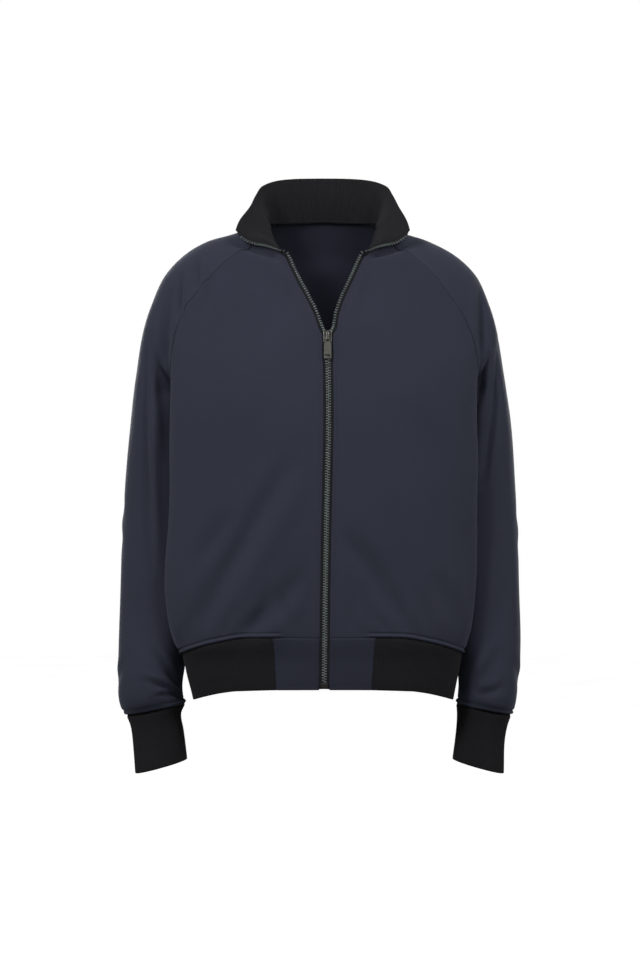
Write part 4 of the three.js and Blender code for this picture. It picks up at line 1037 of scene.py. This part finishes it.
def closeEnds(piece):
    shape = bmesh.new()
    shape.from_mesh(piece.data)
    bmesh.ops.holes_fill(shape, edges=[edge for edge in shape.edges if edge.is_boundary], sides=0)
    bmesh.ops.recalc_face_normals(shape, faces=shape.faces)
    shape.to_mesh(piece.data)
    shape.free()


# One small shape set at many places: place + x * first + y * second + z * third.
def scattered(name, shape, faces, places, first, second, third):
    points = (places[:, None] + shape[None, :, :1] * first[:, None] + shape[None, :, 1:2] * second[:, None]
              + shape[None, :, 2:] * third[:, None])
    firsts = len(shape) * np.arange(len(places))
    every = [face for part in faces for face in (firsts[:, None] + part).tolist()]
    return plainMesh(name, points.reshape(-1, 3), every)


def ringFaces(rings, sides):  # a capped tube of rings
    place = np.arange(rings * sides).reshape(rings, sides)
    onwards = np.roll(place, -1, axis=1)
    walls = np.stack([place[:-1], onwards[:-1], onwards[1:], place[1:]], -1).reshape(-1, 4)
    return [*walls, place[0, ::-1], place[-1]]


def toothShape(sides=8):  # rounded rectangles: cos and sin to the power 0.6, keeping their signs
    angle = (np.arange(sides) + 0.5) * 2 * math.pi / sides
    over = np.sign(np.cos(angle)) * np.abs(np.cos(angle)) ** 0.6
    deep = np.sign(np.sin(angle)) * np.abs(np.sin(angle)) ** 0.6
    rings = [np.stack([np.full(sides, reach), over * half, deep * thick], -1)
             for reach, half, thick in zip(tooth["reach"], tooth["half"], tooth["thick"])]
    return np.concatenate(rings), ringFaces(len(rings), sides)


def makeZipSide(side):
    name, edge = sideNames[side], edgeLine(side)
    end = edge["place"][-1]
    half = tape["thick"] / 2
    outline = [(reach, half) for reach, _ in tape["points"]]
    outline += [(reach, -half) for reach, _ in tape["points"][::-1]]
    drop = [drop for _, drop in tape["points"] + tape["points"][::-1]]
    strip = carried(f"zipTape_{name}", edge, outline, drop, 1, end - 1, side > 0)
    finishPiece(strip, finishes["tape"], "zip_tape", f"zip_tape_{name}")
    angle = np.arange(cord["sides"]) * 2 * math.pi / cord["sides"]
    outline = np.stack([cord["reach"] + cord["wide"] * np.cos(angle), cord["deep"] * np.sin(angle)], -1)
    bead = carried(f"zipCord_{name}", edge, outline, np.zeros(len(outline)), 2, end - 4, side < 0)
    finishPiece(bead, finishes["tape"], "zip_tape")
    start = zipEdge["bottomGap"] + (0 if side < 0 else zipper["pitch"] / 2)
    place = np.arange(start, end - zipEdge["topGap"], zipper["pitch"])
    line, way, reach, facing = edgeAt(edge, place)
    teeth = scattered(f"zipTeeth_{name}", *toothShape(), line, reach, way, facing)
    closeEnds(teeth)
    finishPiece(teeth, finishes["teeth"], "zip_teeth", f"zip_teeth_{name}")
    return edge


edges = {side: makeZipSide(side) for side in (-1, 1)}


def makeBevelled(name, node, body, width, main):  # a CAD solid with its corners eased
    shape = bmesh.new()
    shape.from_mesh(frame["nodes"][node].data)
    bmesh.ops.remove_doubles(shape, verts=shape.verts, dist=1e-6)
    bmesh.ops.dissolve_limit(shape, angle_limit=math.radians(2), verts=shape.verts, edges=shape.edges)
    mesh = bpy.data.meshes.new(name)
    shape.to_mesh(mesh)
    shape.free()
    mesh.materials.clear()
    piece = addObject(name, mesh)
    bevel = piece.modifiers.new("ease", "BEVEL")
    bevel.width, bevel.segments, bevel.limit_method = width * mm, 2, "ANGLE"
    bevel.material = 1
    mesh.materials.append(finishes[main])
    mesh.materials.append(finishes["worn"])
    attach(piece, body)
    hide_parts(node)
    return piece


makeBevelled("sliderBody", "zip_slider", "garment", 0.5, "dark")
makeBevelled("pullTab", "zip_pull", "pull", 0.2, "gunmetal")


def makeBox():  # retainer at the foot of the closed zip: a rounded block, cos and sin to the power 0.35
    size = {"wide": 4.6, "tall": 3.8, "deep": 1.9, "up": 4.5, "rows": 17, "turns": 32, "power": 0.35}
    low = [edgeAt(edges[side], np.array([size["up"]])) for side in (-1, 1)]
    centre = (low[0][0] + low[1][0]) / 2
    across, up, out = low[0][2], low[0][1], low[0][3]
    turn = np.linspace(0, 2 * math.pi, size["turns"] + 1)[None, :-1]
    rise = np.linspace(-math.pi / 2, math.pi / 2, size["rows"])[1:-1, None]
    power = lambda value: np.sign(value) * np.abs(value) ** size["power"]
    x, y = power(np.cos(rise)) * power(np.cos(turn)), power(np.cos(rise)) * power(np.sin(turn))
    z = np.broadcast_to(power(np.sin(rise)), x.shape)
    shape = np.stack([x * size["wide"], z * size["tall"], y * size["deep"]], -1).reshape(-1, 3)
    piece = scattered("zipBox", shape, ringFaces(*x.shape), centre, across, up, out)
    closeEnds(piece)
    return finishPiece(piece, finishes["dark"], "slider_metal")


makeBox()
print("zip made")


# Topstitching.

stitch = {"pitch": 3.1, "half": 1.15, "round": 0.26, "proud": 0.12, "sides": 6}


def makeStitches():  # each a small bead with pointed ends: half width round * sqrt(1 - s^2) along it
    rise = np.array([-0.98, -0.7, 0, 0.7, 0.98])
    angle = np.arange(stitch["sides"]) * 2 * math.pi / stitch["sides"]
    width = stitch["round"] * np.sqrt(1 - rise ** 2)[:, None]
    lengthwise = np.broadcast_to(rise[:, None] * stitch["half"], (len(rise), stitch["sides"]))
    shape = np.stack([lengthwise, width * np.cos(angle), width * np.sin(angle)], -1).reshape(-1, 3)
    centres, ways, sides, offs = [], [], [], []
    for line, normals in stitches:
        length = runs(line)
        place = np.arange(stitch["pitch"], length[-1] - 1, stitch["pitch"])
        way = unit(filled(place, length, np.gradient(line, length, axis=0)))
        off = unit(filled(place, length, normals))
        off = unit(off - (off * way).sum(-1, keepdims=True) * way)
        centres.append(filled(place, length, line) + off * stitch["proud"])
        ways.append(way)
        offs.append(off)
        sides.append(np.cross(off, way))
    piece = scattered("topstitch", shape, ringFaces(len(rise), stitch["sides"]),
                      *map(np.concatenate, (centres, ways, sides, offs)))
    return finishPiece(piece, finishes["thread"], "cloth")


makeStitches()
print("stitches made")


# Flat sizes listed for the sheets that show, in metres, with their flat areas. The tab's is measured.
# The body's areas are rounded from this model's own. The ribs' have no source, and the collar's is larger
# than its modelled 0.45 by 0.077 and 0.0207, which the sheet check refuses. The loop below only reads
# them; nothing takes them up.

cuts = {
    "frontPanel": (0.29, 0.56, 0.135), "backPanel": (0.50, 0.58, 0.25), "sleevePanel": (0.36, 0.66, 0.175),
    "hemTab": (0.063, 0.065, 0.0039), "hemBand": (0.74, 0.065, 0.048), "cuffBand": (0.22, 0.075, 0.0155),
    "standCollar": (0.56, 0.085, 0.03)}
for piece in [item for item in bpy.data.objects if item.name.split("_")[0] in cuts]:
    width, length, area = cuts[piece.name.split("_")[0]]


# Stage, light and camera.

def makeStage():  # a white floor that is seen but throws no light up, so that folds keep their shade
    floor = {"size": 30, "z": -1.5}
    bpy.ops.mesh.primitive_plane_add(size=floor["size"], location=(0, 0, floor["z"]))
    piece = bpy.context.object
    piece.name = "floor"
    piece.data.transform(piece.matrix_world)
    piece.matrix_world.identity()
    finish = Finish("pale floor", Roughness=0.9, Emission_Strength=0.75)
    tone = finish.blend(finish.noise(3, 2), (0.9, 0.9, 0.9, 1), (0.96, 0.96, 0.96, 1))
    finish.surface(tone)
    finish.feed(finish.shader.inputs["Emission Color"], tone)
    piece.data.materials.append(finish.material)
    piece.visible_diffuse = piece.visible_glossy = False


def makeWorld(low=0.16, high=0.34):  # white to the camera; to the cloth a dim dome, lighter above
    world = bpy.data.worlds.new("studio")
    world.use_nodes = True
    nodes, links = world.node_tree.nodes, world.node_tree.links
    place, parts = nodes.new("ShaderNodeTexCoord"), nodes.new("ShaderNodeSeparateXYZ")
    spread, seen = nodes.new("ShaderNodeMapRange"), nodes.new("ShaderNodeLightPath")
    pick = nodes.new("ShaderNodeMix")
    spread.inputs["From Min"].default_value, spread.inputs["From Max"].default_value = -0.6, 0.9
    spread.inputs["To Min"].default_value, spread.inputs["To Max"].default_value = low, high
    pick.inputs["B"].default_value = 1
    links.new(place.outputs["Generated"], parts.inputs[0])
    links.new(parts.outputs["Z"], spread.inputs["Value"])
    links.new(seen.outputs["Is Camera Ray"], pick.inputs["Factor"])
    links.new(spread.outputs[0], pick.inputs["A"])
    links.new(pick.outputs[0], nodes["Background"].inputs["Strength"])
    nodes["Background"].inputs["Color"].default_value = (1, 1, 1, 1)
    bpy.context.scene.world = world


def makeLight(name, place, target, size, power):
    lamp = bpy.data.lights.new(name, "AREA" if size else "SPOT")
    lamp.energy = power
    if size:
        lamp.shape, lamp.size, lamp.size_y = "RECTANGLE", size[0], size[1]
    else:
        lamp.spot_size, lamp.spot_blend, lamp.shadow_soft_size = math.radians(18), 1, 0.3
    piece = addObject(name, lamp)
    way = np.array(target) - np.array(place)
    turn = math.atan2(way[0], -way[1])
    lean = math.acos(-way[2] / np.linalg.norm(way))
    piece.location, piece.rotation_euler = place, (lean, 0, turn + math.pi)


def makeCamera():
    view = {"x": -0.00455, "z": -0.3276, "away": 3.6, "tall": 1.248, "sensor": 36}
    camera = bpy.data.cameras.new("camera")
    camera.sensor_fit, camera.sensor_height = "VERTICAL", view["sensor"]
    camera.lens = view["sensor"] * view["away"] / view["tall"]
    piece = addObject("camera", camera)
    piece.location, piece.rotation_euler = (view["x"], -view["away"], view["z"]), (math.pi / 2, 0, 0)
    bpy.context.scene.camera = piece


lights = (  # name, place, height of the point it faces, size or none for a spot, power
    ("key", (-1.8, -2.4, 1.7), -0.35, (0.8, 0.8), 105), ("fill", (1.7, -2.4, 1.7), -0.35, (1.1, 1.1), 72),
    ("front", (0, -3.4, 0.1), -0.26, None, 135), ("rim", (-3.0, -0.9, 0.6), -0.3, (0.8, 1.6), 34),
    ("rimFar", (3.0, -0.9, 0.6), -0.3, (0.8, 1.6), 34), ("back", (-1.3, 3.2, 0.5), -0.3, (1.2, 1.2), 85),
    ("backFar", (1.5, 3.1, 0.3), -0.3, (1.2, 1.2), 60))
makeStage()
makeWorld()
for name, place, height, size, power in lights:
    makeLight(name, place, (0, 0, height), size, power)
makeCamera()
bpy.context.scene.view_settings.view_transform = "Standard"
print("stage, light and camera set")
